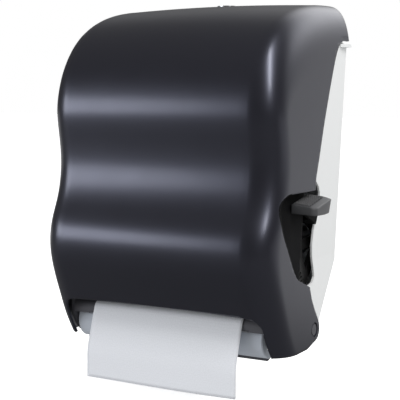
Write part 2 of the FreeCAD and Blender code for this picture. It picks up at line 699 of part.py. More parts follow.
def build_towel_sheet():
    """The web from the back of the roll, through the nip, over the tear bar and down."""
    leave = polar(ROLL_Y, ROLL_Z, ROLL_RADIUS + PAPER_HALF + 0.4, -20)
    down = (-math.sin(math.radians(20)), -math.cos(math.radians(20)))
    nip = polar(FEED_Y, FEED_Z, NIP_PATH_RADIUS, NIP_ANGLE)
    back = (math.sin(math.radians(NIP_ANGLE)), -math.cos(math.radians(NIP_ANGLE)))
    cross = down[0] * back[1] - down[1] * back[0]
    run = ((nip[0] - leave[0]) * back[1] - (nip[1] - leave[1]) * back[0]) / cross
    corner = (leave[0] + down[0] * run, leave[1] + down[1] * run)
    knee = (nip[0] - back[0] * NIP_TO_KNEE, nip[1] - back[1] * NIP_TO_KNEE)
    return ribbon([leave, corner, knee, TAIL_KNEE, TAIL_END], [18.0, TAIL_RADIUS, TAIL_BEND], PAPER_HALF,
                  -ROLL_HALF, ROLL_HALF)


def build_tear_bar():
    """The bar in front of the feed roller that the towel bends over, hollowed for the roller."""
    bar = rod_x(NOSE_Y, NOSE_Z, NOSE_RADIUS, -FRAME_X[0], FRAME_X[0])
    bar = bar.cut(box(-140, 140, -200, -160, 10, BLADE_Z[0]))
    bar = bar.cut(rod_x(FEED_Y, FEED_Z, BAND_RADIUS + 2, -140, 140))
    return bar.cut(box(-BLADE_HALF - 1, BLADE_HALF + 1, -191, BLADE_Y[0], *BLADE_Z))


def build_tear_blade():
    """The serrated steel strip under the bar's nose."""
    back, root, tip = BLADE_Y
    low = BLADE_Z[0]
    corners = [Vector(-BLADE_HALF, back, low)]
    for index in range(int(2 * BLADE_HALF / BLADE_PITCH)):
        x = -BLADE_HALF + index * BLADE_PITCH
        corners.append(Vector(x, root, low))
        corners.append(Vector(x + BLADE_PITCH / 2, tip, low))
    corners.append(Vector(BLADE_HALF, root, low))
    corners.append(Vector(BLADE_HALF, back, low))
    return Part.Face(Part.makePolygon(corners + corners[:1])).extrude(Vector(0, 0, BLADE_Z[1] - low))


def build_feed_drum():
    """The feed roller's drum: a hollow tube with end webs and a hub at each end."""
    hollow = rod_x(FEED_Y, FEED_Z, FEED_RADIUS - 3, FEED_LEFT + 4, FEED_RIGHT - 4)
    drum = rod_x(FEED_Y, FEED_Z, FEED_RADIUS, FEED_LEFT, FEED_RIGHT).cut(hollow)
    for edge_x in (FEED_LEFT, FEED_RIGHT):
        ring = [edge for edge in drum.Edges
                if abs(edge.BoundBox.XMin - edge_x) < 0.01 and abs(edge.BoundBox.XMax - edge_x) < 0.01]
        drum = drum.makeChamfer(1.2, ring)
    return drum.cut(rod_x(FEED_Y, FEED_Z, SHAFT_RADIUS, FEED_LEFT - 1, FEED_RIGHT + 1))


def build_feed_bands():
    """Rubber grip bands shrunk on the drum."""
    bands = []
    for x0, x1 in BAND_SPANS:
        ring = rod_x(FEED_Y, FEED_Z, BAND_RADIUS, x0, x1)
        bands.append(ring.cut(rod_x(FEED_Y, FEED_Z, FEED_RADIUS, x0 - 1, x1 + 1)))
    return Part.makeCompound(bands)


def build_bushes():
    """Flanged bushes for the feed shaft, one in each frame."""
    sleeve = rod_x(FEED_Y, FEED_Z, BUSH_RADIUS, *FRAME_X)
    flange = rod_x(FEED_Y, FEED_Z, BUSH_FLANGE, FRAME_X[0] - 1.2, FRAME_X[0])
    bush = sleeve.fuse(flange).cut(rod_x(FEED_Y, FEED_Z, SHAFT_RADIUS + RUN_CLEARANCE, 120, 150))
    return Part.makeCompound([bush, mirror(bush)])


def build_gear_plate():
    """The inner plate that closes the gear space and carries the pinch roller's right end."""
    outline = ((-70, 22), (-70, 66), (-104, 76), (-158, 66), (-170, 52), (-160, 48), (-134, 16),
               (-128, -2), (-100, 6))
    plate = plate_x(outline, *PLATE_X)
    plate = plate.cut(rod_x(FEED_Y, FEED_Z, FEED_RADIUS + 1.6, 110, 135))
    plate = plate.cut(rod_x(*idler_centre(), IDLER_PIN, 110, 135))
    plate = plate.cut(pinch_slot(110, 135))
    spacer = rod_x(-160, 60, 3.5, PLATE_X[1], FRAME_X[0])
    return plate.fuse(spacer)


def build_pinch_shaft():
    """The pinch roller's steel shaft."""
    return rod_x(*pinch_centre(), PINCH_SHAFT, -140.0, PLATE_X[1])


def build_pinch_rollers():
    """Three rubber rollers pressed on the pinch shaft, facing the grip bands."""
    y, z = pinch_centre()
    rollers = []
    for x0, x1 in BAND_SPANS:
        roller = rod_x(y, z, PINCH_RADIUS, x0 - 2, x1 + 2)
        rollers.append(roller.cut(rod_x(y, z, PINCH_SHAFT, x0 - 3, x1 + 3)))
    return Part.makeCompound(rollers)


def build_base_tray():
    """The curved tray behind and under the feed roller, with ribs down to the back plate's foot."""
    ring = rod_x(FEED_Y, FEED_Z, TRAY_OUTER, *TRAY_X).cut(rod_x(FEED_Y, FEED_Z, TRAY_INNER, -140, 140))
    tray = ring.common(box(*TRAY_X, FEED_Y + 4, FEED_Y + 60, FEED_Z - 60, FEED_Z - 5))
    floor = plate_x(((-134.2, 10), (-131.6, 12), (-58, 16.5), (-58, 13.9)), *TRAY_X)
    ribs = [plate_x(((-132, 11.5), (-131, 0), (-62, 8), (-59, 14.5)), x - 1.2, x + 1.2) for x in TRAY_RIBS]
    return tray.fuse([floor] + ribs)


def build_paper_guide():
    """The sloping guide behind the pinch roller, with an upper rounded lip."""
    left = -FRAME_X[0]
    right = PLATE_X[0]
    sheet = plate_x(((-135, 62), (-133.5, 60.5), (-106, 78), (-107, 80)), left, right)
    lip = rod_x(-106, 79.5, 2, left, right)
    wings = [plate_x(((-135, 62), (-106, 79), (-100, 70), (-128, 55)), x, x + 2.5)
             for x in (left, right - 2.5)]
    return sheet.fuse([lip] + wings)


def build_lever_spring():
    """The lever's hairpin return spring: a bent strip that hooks round the axle's inner end."""
    path = [(-66, 143.5), (-12.5, 134.6), (-12.5, 115.4), (-52, 104)]
    return ribbon(path, [8.5, 8.5], 0.45, 112.0, 120.0)


def build_lever_axle():
    """The fixed axle through the lever's hub, with a washer head inside."""
    axle = rod_x(LEVER_Y, LEVER_Z, LEVER_PIN, 110, LEVER_PIN_END)
    head = rod_x(LEVER_Y, LEVER_Z, 11, 109, 110.5)
    return axle.fuse(head)


def build_lever_stop():
    """The rubber stop on its stud, pressed in the chassis wall."""
    bumper = rod_x(*bumper_centre(), STOP_RADIUS, 133.8, 142.6)
    return bumper.fuse(rod_x(*bumper_centre(), STOP_STUD, 142.6, STOP_STUD_END))


def build_arm(side):
    """A spring-loaded roll arm: barrel at the back plate, tapering blade and round end."""
    x0, x1 = ARM_BLADE_X
    blade = plate_x(((-14, ROLL_Z - 20), (-14, ROLL_Z + 20), (ROLL_Y, ROLL_Z + 24), (ROLL_Y, ROLL_Z - 24)),
                    x0, x1)
    window = plate_x(((-30, ROLL_Z - 10), (-30, ROLL_Z + 10), (-80, ROLL_Z + 12), (-80, ROLL_Z - 12)),
                     x0 - 1, x1 + 1)
    end = rod_x(ROLL_Y, ROLL_Z, 24, x0, x1)
    barrel = rod_z(ARM_PIVOT_X, ARM_PIVOT_Y, ARM_BARREL, ROLL_Z - 26.5, ROLL_Z + 26.5)
    neck = box(x0, ARM_PIVOT_X, -15, -6, ROLL_Z - 20, ROLL_Z + 20)
    stiffeners = [box(x1, x1 + 2.5, -92, -16, z, z + 2.5) for z in (ROLL_Z - 17.5, ROLL_Z + 15)]
    arm = blade.fuse([end, neck, barrel] + stiffeners).cut(window)
    arm = arm.cut(rod_z(ARM_PIVOT_X, ARM_PIVOT_Y, ARM_PIN + RUN_CLEARANCE, ROLL_Z - 40, ROLL_Z + 40))
    arm = arm.cut(rod_x(ROLL_Y, ROLL_Z, HUB_STUB, x0 - 1, x1 + 1))
    return arm if side > 0 else mirror(arm)


def build_hub(side):
    """The tapered plug that the towel core turns on, with the stub that holds it in the arm."""
    plug_end = ARM_BLADE_X[0] - 2.5
    plug = Part.makeCone(*HUB_PLUG, plug_end - HUB_PLUG_FROM, Vector(HUB_PLUG_FROM, ROLL_Y, ROLL_Z),
                         Vector(1, 0, 0))
    stub = rod_x(ROLL_Y, ROLL_Z, HUB_STUB, plug_end, ARM_BLADE_X[1])
    hub = plug.fuse(stub).cut(rod_x(ROLL_Y, ROLL_Z, 10, HUB_PLUG_FROM - 1, 102))
    return hub if side > 0 else mirror(hub)


def build_hub_flange(side):
    """The thin collar that keeps the roll's end off the arm."""
    collar = rod_x(ROLL_Y, ROLL_Z, HUB_FLANGE, ARM_BLADE_X[0] - 2.5, ARM_BLADE_X[0])
    collar = collar.cut(rod_x(ROLL_Y, ROLL_Z, HUB_STUB, 100, 110))
    return collar if side > 0 else mirror(collar)


def build_arm_pins():
    """Vertical pins of the two roll arms."""
    reach = (LUG_SPACING + LUG_HEIGHT) / 2
    pin = rod_z(ARM_PIVOT_X, ARM_PIVOT_Y, ARM_PIN, ROLL_Z - reach, ROLL_Z + reach)
    return Part.makeCompound([pin, mirror(pin)])


def screw_shanks():
    """The right-hand frame screws' shanks."""
    return [rod_x(y, z, SCREW_SHANK, FRAME_X[0] + 1, CHASSIS_LOW_X) for y, z in FRAME_SCREWS]


def build_frame_screws():
    """Pan-head screws that hold the side frames to the chassis walls."""
    screws = []
    for shank, (y, z) in zip(screw_shanks(), FRAME_SCREWS):
        head = rod_x(y, z, SCREW_HEAD, CHASSIS_LOW_X, CHASSIS_LOW_X + 2.2)
        slot = box(CHASSIS_LOW_X + 1.2, CHASSIS_LOW_X + 3, y - 0.5, y + 0.5, z - 4, z + 4)
        screws.append(head.fuse(shank).cut(slot))
    return Part.makeCompound(screws + [mirror(screw) for screw in screws])


def build_roll():
    """The full towel roll and the card core inside it."""
    bore = rod_x(ROLL_Y, ROLL_Z, CORE_OUTER, -110, 110)
    roll = rod_x(ROLL_Y, ROLL_Z, ROLL_RADIUS, -ROLL_HALF, ROLL_HALF).cut(bore)
    core = rod_x(ROLL_Y, ROLL_Z, CORE_OUTER, -ROLL_HALF - 0.5, ROLL_HALF + 0.5)
    return roll, core.cut(rod_x(ROLL_Y, ROLL_Z, CORE_INNER, -110, 110))


def build_lock():
    """Lock barrel, its nut, the turning plug with a plain key slot, the cam and the strike."""
    barrel = rod_z(0, LOCK_Y, LOCK_RADIUS, 388, LOCK_SEAT).fuse(
        rod_z(0, LOCK_Y, LOCK_FLANGE, LOCK_SEAT, LOCK_SEAT + 1.8))
    barrel = barrel.cut(rod_z(0, LOCK_Y, PLUG_RADIUS + RUN_CLEARANCE, 380, 425))
    corners = [polar(0, LOCK_Y, NUT_RADIUS, 60 * k) for k in range(6)]
    outline = [Vector(x, y, NUT_Z[0]) for x, y in corners]
    nut = Part.Face(Part.makePolygon(outline + outline[:1])).extrude(Vector(0, 0, NUT_Z[1] - NUT_Z[0]))
    nut = nut.cut(rod_z(0, LOCK_Y, LOCK_RADIUS, 400, 415))
    plug = rod_z(0, LOCK_Y, PLUG_RADIUS, CAM_Z[1], LOCK_SEAT + 1.6)
    plug = plug.cut(box(-1.0, 1.0, LOCK_Y - 4, LOCK_Y + 4, 410, 420))
    cam = rod_z(0, LOCK_Y, 8, *CAM_Z).fuse(box(-4, 4, LOCK_Y, LOCK_Y + 19, *CAM_Z))
    left, right = STRIKE_X
    bar = box(left, right, -40, -CHASSIS_WALL, 388.5, 391)
    catch = box(left, right, -40, -37.5, 376, 391)
    foot = box(left, right, -5, -CHASSIS_WALL, 374, 391)
    return barrel, nut, plug, cam, bar.fuse([catch, foot])


def main():
    """Build every piece and write it."""
    os.makedirs("parts", exist_ok=True)
    save("cover", build_cover())
    save("back_plate", build_back_plate())
    save("side_wall_left", build_side_wall(-1))
    save("side_wall_right", build_side_wall(1))
    save("hinge_pins", build_hinge_pins())
    save("roller_frame_left", build_frame(-1))
    save("roller_frame_right", build_frame(1))
    save("gear_plate", build_gear_plate())
    save("frame_screws", build_frame_screws())
    save("shaft_bushes", build_bushes())
    save("base_tray", build_base_tray())
    save("paper_guide", build_paper_guide())
    save("tear_bar", build_tear_bar())
    save("tear_blade", build_tear_blade())
    save("feed_drum", build_feed_drum())
    save("feed_bands", build_feed_bands())
    save("feed_shaft", rod_x(FEED_Y, FEED_Z, SHAFT_RADIUS, -FRAME_X[1], FRAME_X[1]))
    save("drive_pinion", build_pinion())
    save("idler_gear", build_idler())
    save("idler_axle", rod_x(*idler_centre(), IDLER_PIN, PLATE_X[0], FRAME_X[1]))
    save("sector_gear", build_sector())
    save("lever_arm", build_lever_arm())
    save("lever_pad", build_lever_pad())
    save("pad_grip", build_pad_grip())
    save("lever_axle", build_lever_axle())
    save("lever_spring", build_lever_spring())
    save("lever_bumper", build_lever_stop())
    save("pinch_shaft", build_pinch_shaft())
    save("pinch_rollers", build_pinch_rollers())
    roll, core = build_roll()
    save("towel_roll", roll)
    save("roll_core", core)
    save("towel_sheet", build_towel_sheet())
    save("roll_arm_left", build_arm(-1))
    save("roll_arm_right", build_arm(1))
    save("core_hub_left", build_hub(-1))
    save("core_hub_right", build_hub(1))
    save("hub_collar_left", build_hub_flange(-1))
    save("hub_collar_right", build_hub_flange(1))
    save("arm_pins", build_arm_pins())
    names = ("lock_barrel", "lock_nut", "lock_plug", "lock_cam", "lock_strike")
    for name, piece in zip(names, build_lock()):
        save(name, piece)


main()
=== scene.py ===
"""Finished look of the lever towel dispenser: waved cover, thumb pad, hanging towel and finishes."""

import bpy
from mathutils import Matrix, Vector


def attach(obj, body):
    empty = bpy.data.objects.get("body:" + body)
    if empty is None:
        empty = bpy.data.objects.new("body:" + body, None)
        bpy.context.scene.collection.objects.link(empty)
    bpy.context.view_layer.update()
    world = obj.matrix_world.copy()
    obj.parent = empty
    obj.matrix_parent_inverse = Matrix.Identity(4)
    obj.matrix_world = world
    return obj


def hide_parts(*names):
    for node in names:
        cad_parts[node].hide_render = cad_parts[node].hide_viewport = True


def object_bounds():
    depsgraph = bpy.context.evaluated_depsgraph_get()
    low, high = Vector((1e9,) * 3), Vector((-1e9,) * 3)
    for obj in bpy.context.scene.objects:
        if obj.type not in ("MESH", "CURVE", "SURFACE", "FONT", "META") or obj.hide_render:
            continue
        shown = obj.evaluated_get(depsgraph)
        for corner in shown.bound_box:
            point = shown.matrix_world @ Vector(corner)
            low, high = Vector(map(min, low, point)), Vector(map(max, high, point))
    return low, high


bl_info = {
    "name": "Lever Towel Dispenser",
    "version": (1, 0, 0),
    "blender": (4, 5, 0),
    "location": "3D View > Sidebar > Dispenser",
    "description": "Builds the cover, lever pad, towel and finishes of a lever towel dispenser",
    "category": "Object",
}

import math

import bmesh
import bpy
import numpy as np
from mathutils import Matrix, Vector

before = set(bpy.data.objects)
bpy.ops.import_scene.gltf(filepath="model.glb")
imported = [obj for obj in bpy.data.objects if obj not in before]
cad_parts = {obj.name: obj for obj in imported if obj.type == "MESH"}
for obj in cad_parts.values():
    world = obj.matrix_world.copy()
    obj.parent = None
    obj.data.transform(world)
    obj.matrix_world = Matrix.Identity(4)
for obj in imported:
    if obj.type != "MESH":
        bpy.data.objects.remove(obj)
CAD_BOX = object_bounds()

# Lengths below are in millimetres, and heights are counted from the line of the cover's feet
ORIGIN_HEIGHT = 240.0

# The front's depth at each height, then the side edges and the pocket's front in (y, z)
COVER_TOP = 419.0
CROWN_START = 270.0
CROWN_DROP = 3.0
SHOULDER_DROP = 72.0
SHOULDER_POWER = 1.35
WALL_EASE = 40.0
SIDE_DRAFT = 0.02
DRAFT_REACH = 160.0
WAVE = ((0, 187), (25, 202), (53, 214.5), (90, 229), (124, 235), (150, 230), (172, 220),
        (195, 212.5), (221, 209.5), (250, 212), (281, 216), (310, 213), (335, 205), (356, 193),
        (374, 177), (391, 152), (404, 120), (413, 80), (417.5, 40), (COVER_TOP, 0))
REAR_EDGE = ((8, 371.2), (0, 371), (-24, 369), (-40, 357), (-54, 332), (-68, 298), (-82, 261),
             (-92, 231), (-101.5, 205))
LOWER_EDGE = ((-103, 188), (-117, 75.5), (-111, 60), (-103, 47), (-90.1, 29.6))
POCKET_FRONT = ((-166, 190), (-182, 187), (-192, 178), (-193, 167), (-189, 153), (-178, 134),
                (-166, 113), (-157, 98), (-150, 89.5))
POCKET_FLOOR_X = 143.5

# Hinge in (y, z), with the radii of the cover's ear and of the pin's rim, dish and hole in it
HINGE = (-101.6, 20.0)
EAR_RADIUS = 15.0
PIN_RIM, PIN_DISH, PIN_HOLE = 9.3, 8.9, 4.3
DISH_DEPTH = 1.6

# Lock in (x, y) on the top
LOCK_PLACE = (0.0, -30.0)
LOCK_HOLE = 12.6

# Arch over the towel's outlet in (x, z)
ARCH_CORNER = (119.5, 33.5)
ARCH_RADIUS = 17.6
ARCH_FOOT = 141.5
ARCH_TOP = 51.0
ARCH_RISE = 2.5
BELOW = -60

# A distance that counts as well outside an outline
FAR = 5.0

# Across the cover's grid: columns from the middle to the corner, round it, and on to the wall
FLAT_COLUMNS, CORNER_COLUMNS, SIDE_COLUMNS = 12, 16, 42

# Roll and feed roller in (y, z), and the radius at which the towel runs on each
ROLL_CENTRE = (-107.0, 285.0)
ROLL_RADIUS = 92.0
FEED_CENTRE = (-160.0, 17.0)
TOWEL_ON_ROLL = 92.8
TOWEL_ON_FEED = 24.2
TOWEL_WIDTH = 208.0

# The pad's inner end and width, and its top's rise from front to back
PAD_INNER = 145.0
PAD_WIDTH = 31.5
PAD_OUTLINE = ((-146, 166), (-146, 176.8), (-98, 185.2), (-105, 165.6), (-118, 165))
PAD_TOP = (-146.0, 176.8)
PAD_SLOPE = math.atan2(8.4, 48.0)
PAD_SPLIT = 172

# Width of the photograph, and its camera's focal length, both in pixels
PHOTO_WIDTH = 400.0
PHOTO_FOCAL = 1042.0


def point(x, y, z):
    """Millimetres above the feet to metres in the row frame."""
    return Vector((x / 1000.0, y / 1000.0, (z - ORIGIN_HEIGHT) / 1000.0))


def new_piece(name, mesh, body, material, replaced):
    """Link a finished mesh as a piece that rides on a body in place of a plain part."""
    mesh.materials.append(material)
    piece = bpy.data.objects.new(name, mesh)
    bpy.context.scene.collection.objects.link(piece)
    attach(piece, body)
    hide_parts(replaced)
    return piece


def to_row_frame(bm):
    """Take a mesh from millimetres above the feet to metres in the row frame."""
    matrix = Matrix.Scale(0.001, 4) @ Matrix.Translation((0, 0, -ORIGIN_HEIGHT))
    bmesh.ops.transform(bm, matrix=matrix, verts=bm.verts)


def mesh_from(bm, name, smooth_angle):
    """Write a bmesh to a new mesh, smooth but for its sharp edges."""
    mesh = bpy.data.meshes.new(name)
    bm.to_mesh(mesh)
    bm.free()
    mesh.shade_smooth()
    mesh.set_sharp_from_angle(angle=math.radians(smooth_angle))
    return mesh


# Materials

def material_base(name, colour, roughness, metallic=0.0):
    """A new material with a Principled shader; returns it with its tree and shader."""
    material = bpy.data.materials.new(name)
    material.use_nodes = True
    tree = material.node_tree
    shader = tree.nodes["Principled BSDF"]
    shader.inputs["Base Color"].default_value = (*colour, 1.0)
    shader.inputs["Roughness"].default_value = roughness
    shader.inputs["Metallic"].default_value = metallic
    return material, tree, shader


def object_coordinates(tree, scale=(1, 1, 1)):
    """Object coordinates through a Mapping node."""
    coordinates = tree.nodes.new("ShaderNodeTexCoord")
    mapping = tree.nodes.new("ShaderNodeMapping")
    mapping.inputs["Scale"].default_value = scale
    tree.links.new(coordinates.outputs["Object"], mapping.inputs["Vector"])
    return mapping.outputs["Vector"]


def noise(tree, vector, scale, detail=3.0):
    """A noise texture at a scale in cells per metre."""
    node = tree.nodes.new("ShaderNodeTexNoise")
    node.inputs["Scale"].default_value = scale
    node.inputs["Detail"].default_value = detail
    tree.links.new(vector, node.inputs["Vector"])
    return node.outputs["Fac"]


def bump(tree, shader, height, strength, distance):
    """Feed a height into the shader's normal, after any bump already there."""
    node = tree.nodes.new("ShaderNodeBump")
    node.inputs["Strength"].default_value = strength
    node.inputs["Distance"].default_value = distance
    tree.links.new(height, node.inputs["Height"])
    before = shader.inputs["Normal"].links
    if before:
        tree.links.new(before[0].from_socket, node.inputs["Normal"])
    tree.links.new(node.outputs["Normal"], shader.inputs["Normal"])


def vary(tree, factor, low, high, socket):
    """Blend two colours by a factor into a colour socket."""
    ramp = tree.nodes.new("ShaderNodeValToRGB")
    ramp.color_ramp.elements[0].position = 0.35
    ramp.color_ramp.elements[1].position = 0.65
    ramp.color_ramp.elements[0].color = (*low, 1)
    ramp.color_ramp.elements[1].color = (*high, 1)
    tree.links.new(factor, ramp.inputs["Fac"])
    tree.links.new(ramp.outputs["Color"], socket)


def rough_range(tree, factor, low, high, shader):
    """Let a factor move the roughness between two values."""
    spread = tree.nodes.new("ShaderNodeMapRange")
    spread.inputs["To Min"].default_value = low
    spread.inputs["To Max"].default_value = high
    tree.links.new(factor, spread.inputs["Value"])
    tree.links.new(spread.outputs["Result"], shader.inputs["Roughness"])


def moulded(name, low, high, roughness, gloss=0.5):
    """Moulded plastic: slow colour drift, fine spark-eroded grain and a little uneven gloss."""
    material, tree, shader = material_base(name, low, roughness)
    shader.inputs["Specular IOR Level"].default_value = gloss
    vector = object_coordinates(tree)
    vary(tree, noise(tree, vector, 14.0, 4), low, high, shader.inputs["Base Color"])
    rough_range(tree, noise(tree, vector, 60.0, 3), roughness - 0.04, roughness + 0.05, shader)
    bump(tree, shader, noise(tree, vector, 900.0, 2), 0.35, 0.00004)
    return material


def pearl_cover():
    """Dark satin plastic with a fine pearl fleck under a thin gloss."""
    look = bpy.context.scene.dispenser_looks
    low = tuple(look.cover_colour)
    high = tuple(min(1.0, c * 1.12) for c in low)
    material, tree, shader = material_base("pearl_plastic", low, look.cover_roughness)
    shader.inputs["Specular IOR Level"].default_value = 0.9
    shader.inputs["Specular Tint"].default_value = (0.76, 0.79, 1.0, 1)
    vector = object_coordinates(tree)
    fleck = tree.nodes.new("ShaderNodeTexVoronoi")
    fleck.inputs["Scale"].default_value = 2200.0
    tree.links.new(vector, fleck.inputs["Vector"])
    vary(tree, fleck.outputs["Color"], low, high, shader.inputs["Base Color"])
    gloss = look.cover_roughness
    rough_range(tree, noise(tree, vector, 35.0, 3), gloss - 0.02, gloss + 0.03, shader)
    bump(tree, shader, noise(tree, vector, 1400.0, 2), 0.12, 0.00003)
    shader.inputs["Coat Weight"].default_value = 0.2
    shader.inputs["Coat Roughness"].default_value = 0.2
    return material


def steel(name, colour, roughness):
    """Bright metal with fine turning or rolling lines along X."""
    material, tree, shader = material_base(name, colour, roughness, 1.0)
    vector = object_coordinates(tree, (6, 400, 400))
    lines = noise(tree, vector, 3.0, 4)
    rough_range(tree, lines, roughness - 0.07, roughness + 0.1, shader)
    bump(tree, shader, lines, 0.15, 0.00003)
    return material


def rubber(name, colour):
    """Matt rubber with a dusty, pitted surface."""
    material, tree, shader = material_base(name, colour, 0.78)
    vector = object_coordinates(tree)
    dusty = tuple(c * 1.5 for c in colour)
    vary(tree, noise(tree, vector, 120.0, 5), colour, dusty, shader.inputs["Base Color"])
    bump(tree, shader, noise(tree, vector, 1600.0, 2), 0.4, 0.00006)
    return material


def towel_paper(name, uv, colour):
    """Crepe towel paper: an embossed dot grid over loose fibre."""
    material, tree, shader = material_base(name, colour, 0.92)
    if uv:
        node = tree.nodes.new("ShaderNodeUVMap")
        node.uv_map = "weave"
        vector = node.outputs["UV"]
    else:
        vector = object_coordinates(tree)
    fibre = noise(tree, vector, 700.0, 5)
    vary(tree, fibre, tuple(c * 0.94 for c in colour), colour, shader.inputs["Base Color"])
    dots = tree.nodes.new("ShaderNodeTexVoronoi")
    dots.inputs["Scale"].default_value = 330.0
    dots.inputs["Randomness"].default_value = 0.15
    tree.links.new(vector, dots.inputs["Vector"])
    bump(tree, shader, dots.outputs["Distance"], 0.55, 0.00035)
    bump(tree, shader, fibre, 0.35, 0.0002)
    shader.inputs["Sheen Weight"].default_value = 0.15
    return material


def card(name):
    """Kraft card with long pulp streaks."""
    material, tree, shader = material_base(name, (0.33, 0.22, 0.13), 0.85)
    vector = object_coordinates(tree, (40, 300, 300))
    streaks = noise(tree, vector, 3.0, 5)
    vary(tree, streaks, (0.27, 0.18, 0.10), (0.40, 0.28, 0.17), shader.inputs["Base Color"])
    bump(tree, shader, noise(tree, vector, 8.0, 3), 0.3, 0.0001)
    return material


def finish(name):
    """The object's own finishes, made once each."""
    made = bpy.data.materials.get(name)
    if made:
        return made
    look = bpy.context.scene.dispenser_looks
    white = tuple(look.wall_colour)
    lighter = tuple(min(1, c * 1.02) for c in white)
    makers = {
        "pearl_plastic": pearl_cover,
        "white_plastic": lambda: moulded(name, white, lighter, 0.42),
        "dark_plastic": lambda: moulded(name, (0.008, 0.008, 0.009), (0.012, 0.012, 0.013), 0.5),
        # Near-black painted shade for the lever pocket's recess, also put on the lever arm
        "painted_pocket_shade": lambda: moulded(name, (0.003, 0.003, 0.0035), (0.005, 0.005, 0.006), 0.8,
                                          0.15),
        "pad_plastic": lambda: moulded(name, (0.06, 0.061, 0.065), (0.075, 0.076, 0.081), 0.42),
        "grip_rubber": lambda: moulded(name, (0.13, 0.132, 0.135), (0.16, 0.162, 0.165), 0.5),
        "grey_plastic": lambda: moulded(name, (0.84, 0.88, 0.93), (0.87, 0.91, 0.95), 0.4),
        "acetal": lambda: moulded(name, (0.62, 0.62, 0.57), (0.68, 0.68, 0.63), 0.36),
        "black_acetal": lambda: moulded(name, (0.012, 0.012, 0.012), (0.017, 0.017, 0.017), 0.45),
        "zinc_steel": lambda: steel(name, (0.55, 0.56, 0.58), 0.3),
        "spring_steel": lambda: steel(name, (0.32, 0.32, 0.34), 0.33),
        "dark_rubber": lambda: rubber(name, (0.018, 0.018, 0.019)),
        "towel": lambda: towel_paper(name, True, (0.85, 0.87, 0.91)),
        "roll_paper": lambda: towel_paper(name, False, (0.80, 0.81, 0.83)),
        "kraft_card": lambda: card(name),
    }
    return makers[name]()


# The cover

def spline_rows(points, step):
    """Points at even steps along the natural cubic spline through the given ones."""
    knots = np.array(points, float)
    t = np.concatenate(([0], np.cumsum(np.linalg.norm(np.diff(knots, axis=0), axis=1))))
    gap = np.diff(t)
    count = len(t)
    system = np.eye(count)
    right = np.zeros_like(knots)
    for i in range(1, count - 1):
        system[i, i - 1:i + 2] = gap[i - 1], 2 * (gap[i - 1] + gap[i]), gap[i]
        right[i] = 6 * ((knots[i + 1] - knots[i]) / gap[i] - (knots[i] - knots[i - 1]) / gap[i - 1])
    bend = np.linalg.solve(system, right)
    where = np.linspace(0, t[-1], int(t[-1] / step) + 1)
    i = np.clip(np.searchsorted(t, where, side="right") - 1, 0, count - 2)
    a = ((t[i + 1] - where) / gap[i])[:, None]
    b = 1 - a
    h = (gap[i] ** 2 / 6)[:, None]
    return a * knots[i] + b * knots[i + 1] + ((a ** 3 - a) * bend[i] + (b ** 3 - b) * bend[i + 1]) * h


def outline_distance(places, outline):
    """Signed distance of many places to a closed outline, negative inside it."""
    places = np.asarray(places, float)
    start = np.array(outline, float)
    along = np.roll(start, -1, axis=0) - start
    best = np.full(len(places), 1e9)
    inside = np.zeros(len(places), bool)
    for (ay, az), (dy, dz) in zip(start, along):
        ry = places[:, 0] - ay
        rz = places[:, 1] - az
        share = np.clip((ry * dy + rz * dz) / max(dy * dy + dz * dz, 1e-9), 0, 1)
        best = np.minimum(best, np.hypot(ry - share * dy, rz - share * dz))
        if dz != 0:
            crosses = ((az > places[:, 1]) != (az + dz > places[:, 1])) & (ry < dy * rz / dz)
            inside ^= crosses
    return np.where(inside, -best, best)


def arc_points(centre, radius, start, stop, count):
    """Points round part of a circle, in degrees."""
    return [(centre[0] + radius * math.cos(math.radians(start + (stop - start) * i / (count - 1))),
             centre[1] + radius * math.sin(math.radians(start + (stop - start) * i / (count - 1))))
            for i in range(count)]


def cut_along(bm, values, level=0.0):
    """Cut the mesh where a value kept per vertex crosses a level."""
    fresh = set()
    for vert in bm.verts:
        if abs(values[vert] - level) < 0.03:
            values[vert] = level
            fresh.add(vert)
    for edge in list(bm.edges):
        a, b = edge.verts
        va, vb = values[a] - level, values[b] - level
        if va * vb < 0:
            share = va / (va - vb)
            vert = bmesh.utils.edge_split(edge, a, share)[1]
            values[vert] = level
            fresh.add(vert)
    for face in list(bm.faces):
        ends = [v for v in face.verts if v in fresh]
        if len(ends) != 2:
            continue
        near = [e for e in ends[0].link_edges if face in e.link_faces]
        if not any(ends[1] in e.verts for e in near):
            bmesh.utils.face_split(face, ends[0], ends[1])


def values_for(bm, measure):
    """Measure every vertex at once, in millimetres above the feet."""
    verts = list(bm.verts)
    places = np.array([v.co for v in verts])
    return dict(zip(verts, measure(places)))


def drop_inside(bm, values):
    """Delete the faces whose corners lie below zero, inside the outline."""
    doomed = [face for face in bm.faces if sum(values[v] for v in face.verts) < 0]
    bmesh.ops.delete(bm, geom=doomed, context="FACES")


def cut_out(bm, measure):
    """Cut the mesh along an outline and take away what lies inside."""
    values = values_for(bm, measure)
    cut_along(bm, values)
    drop_inside(bm, values)


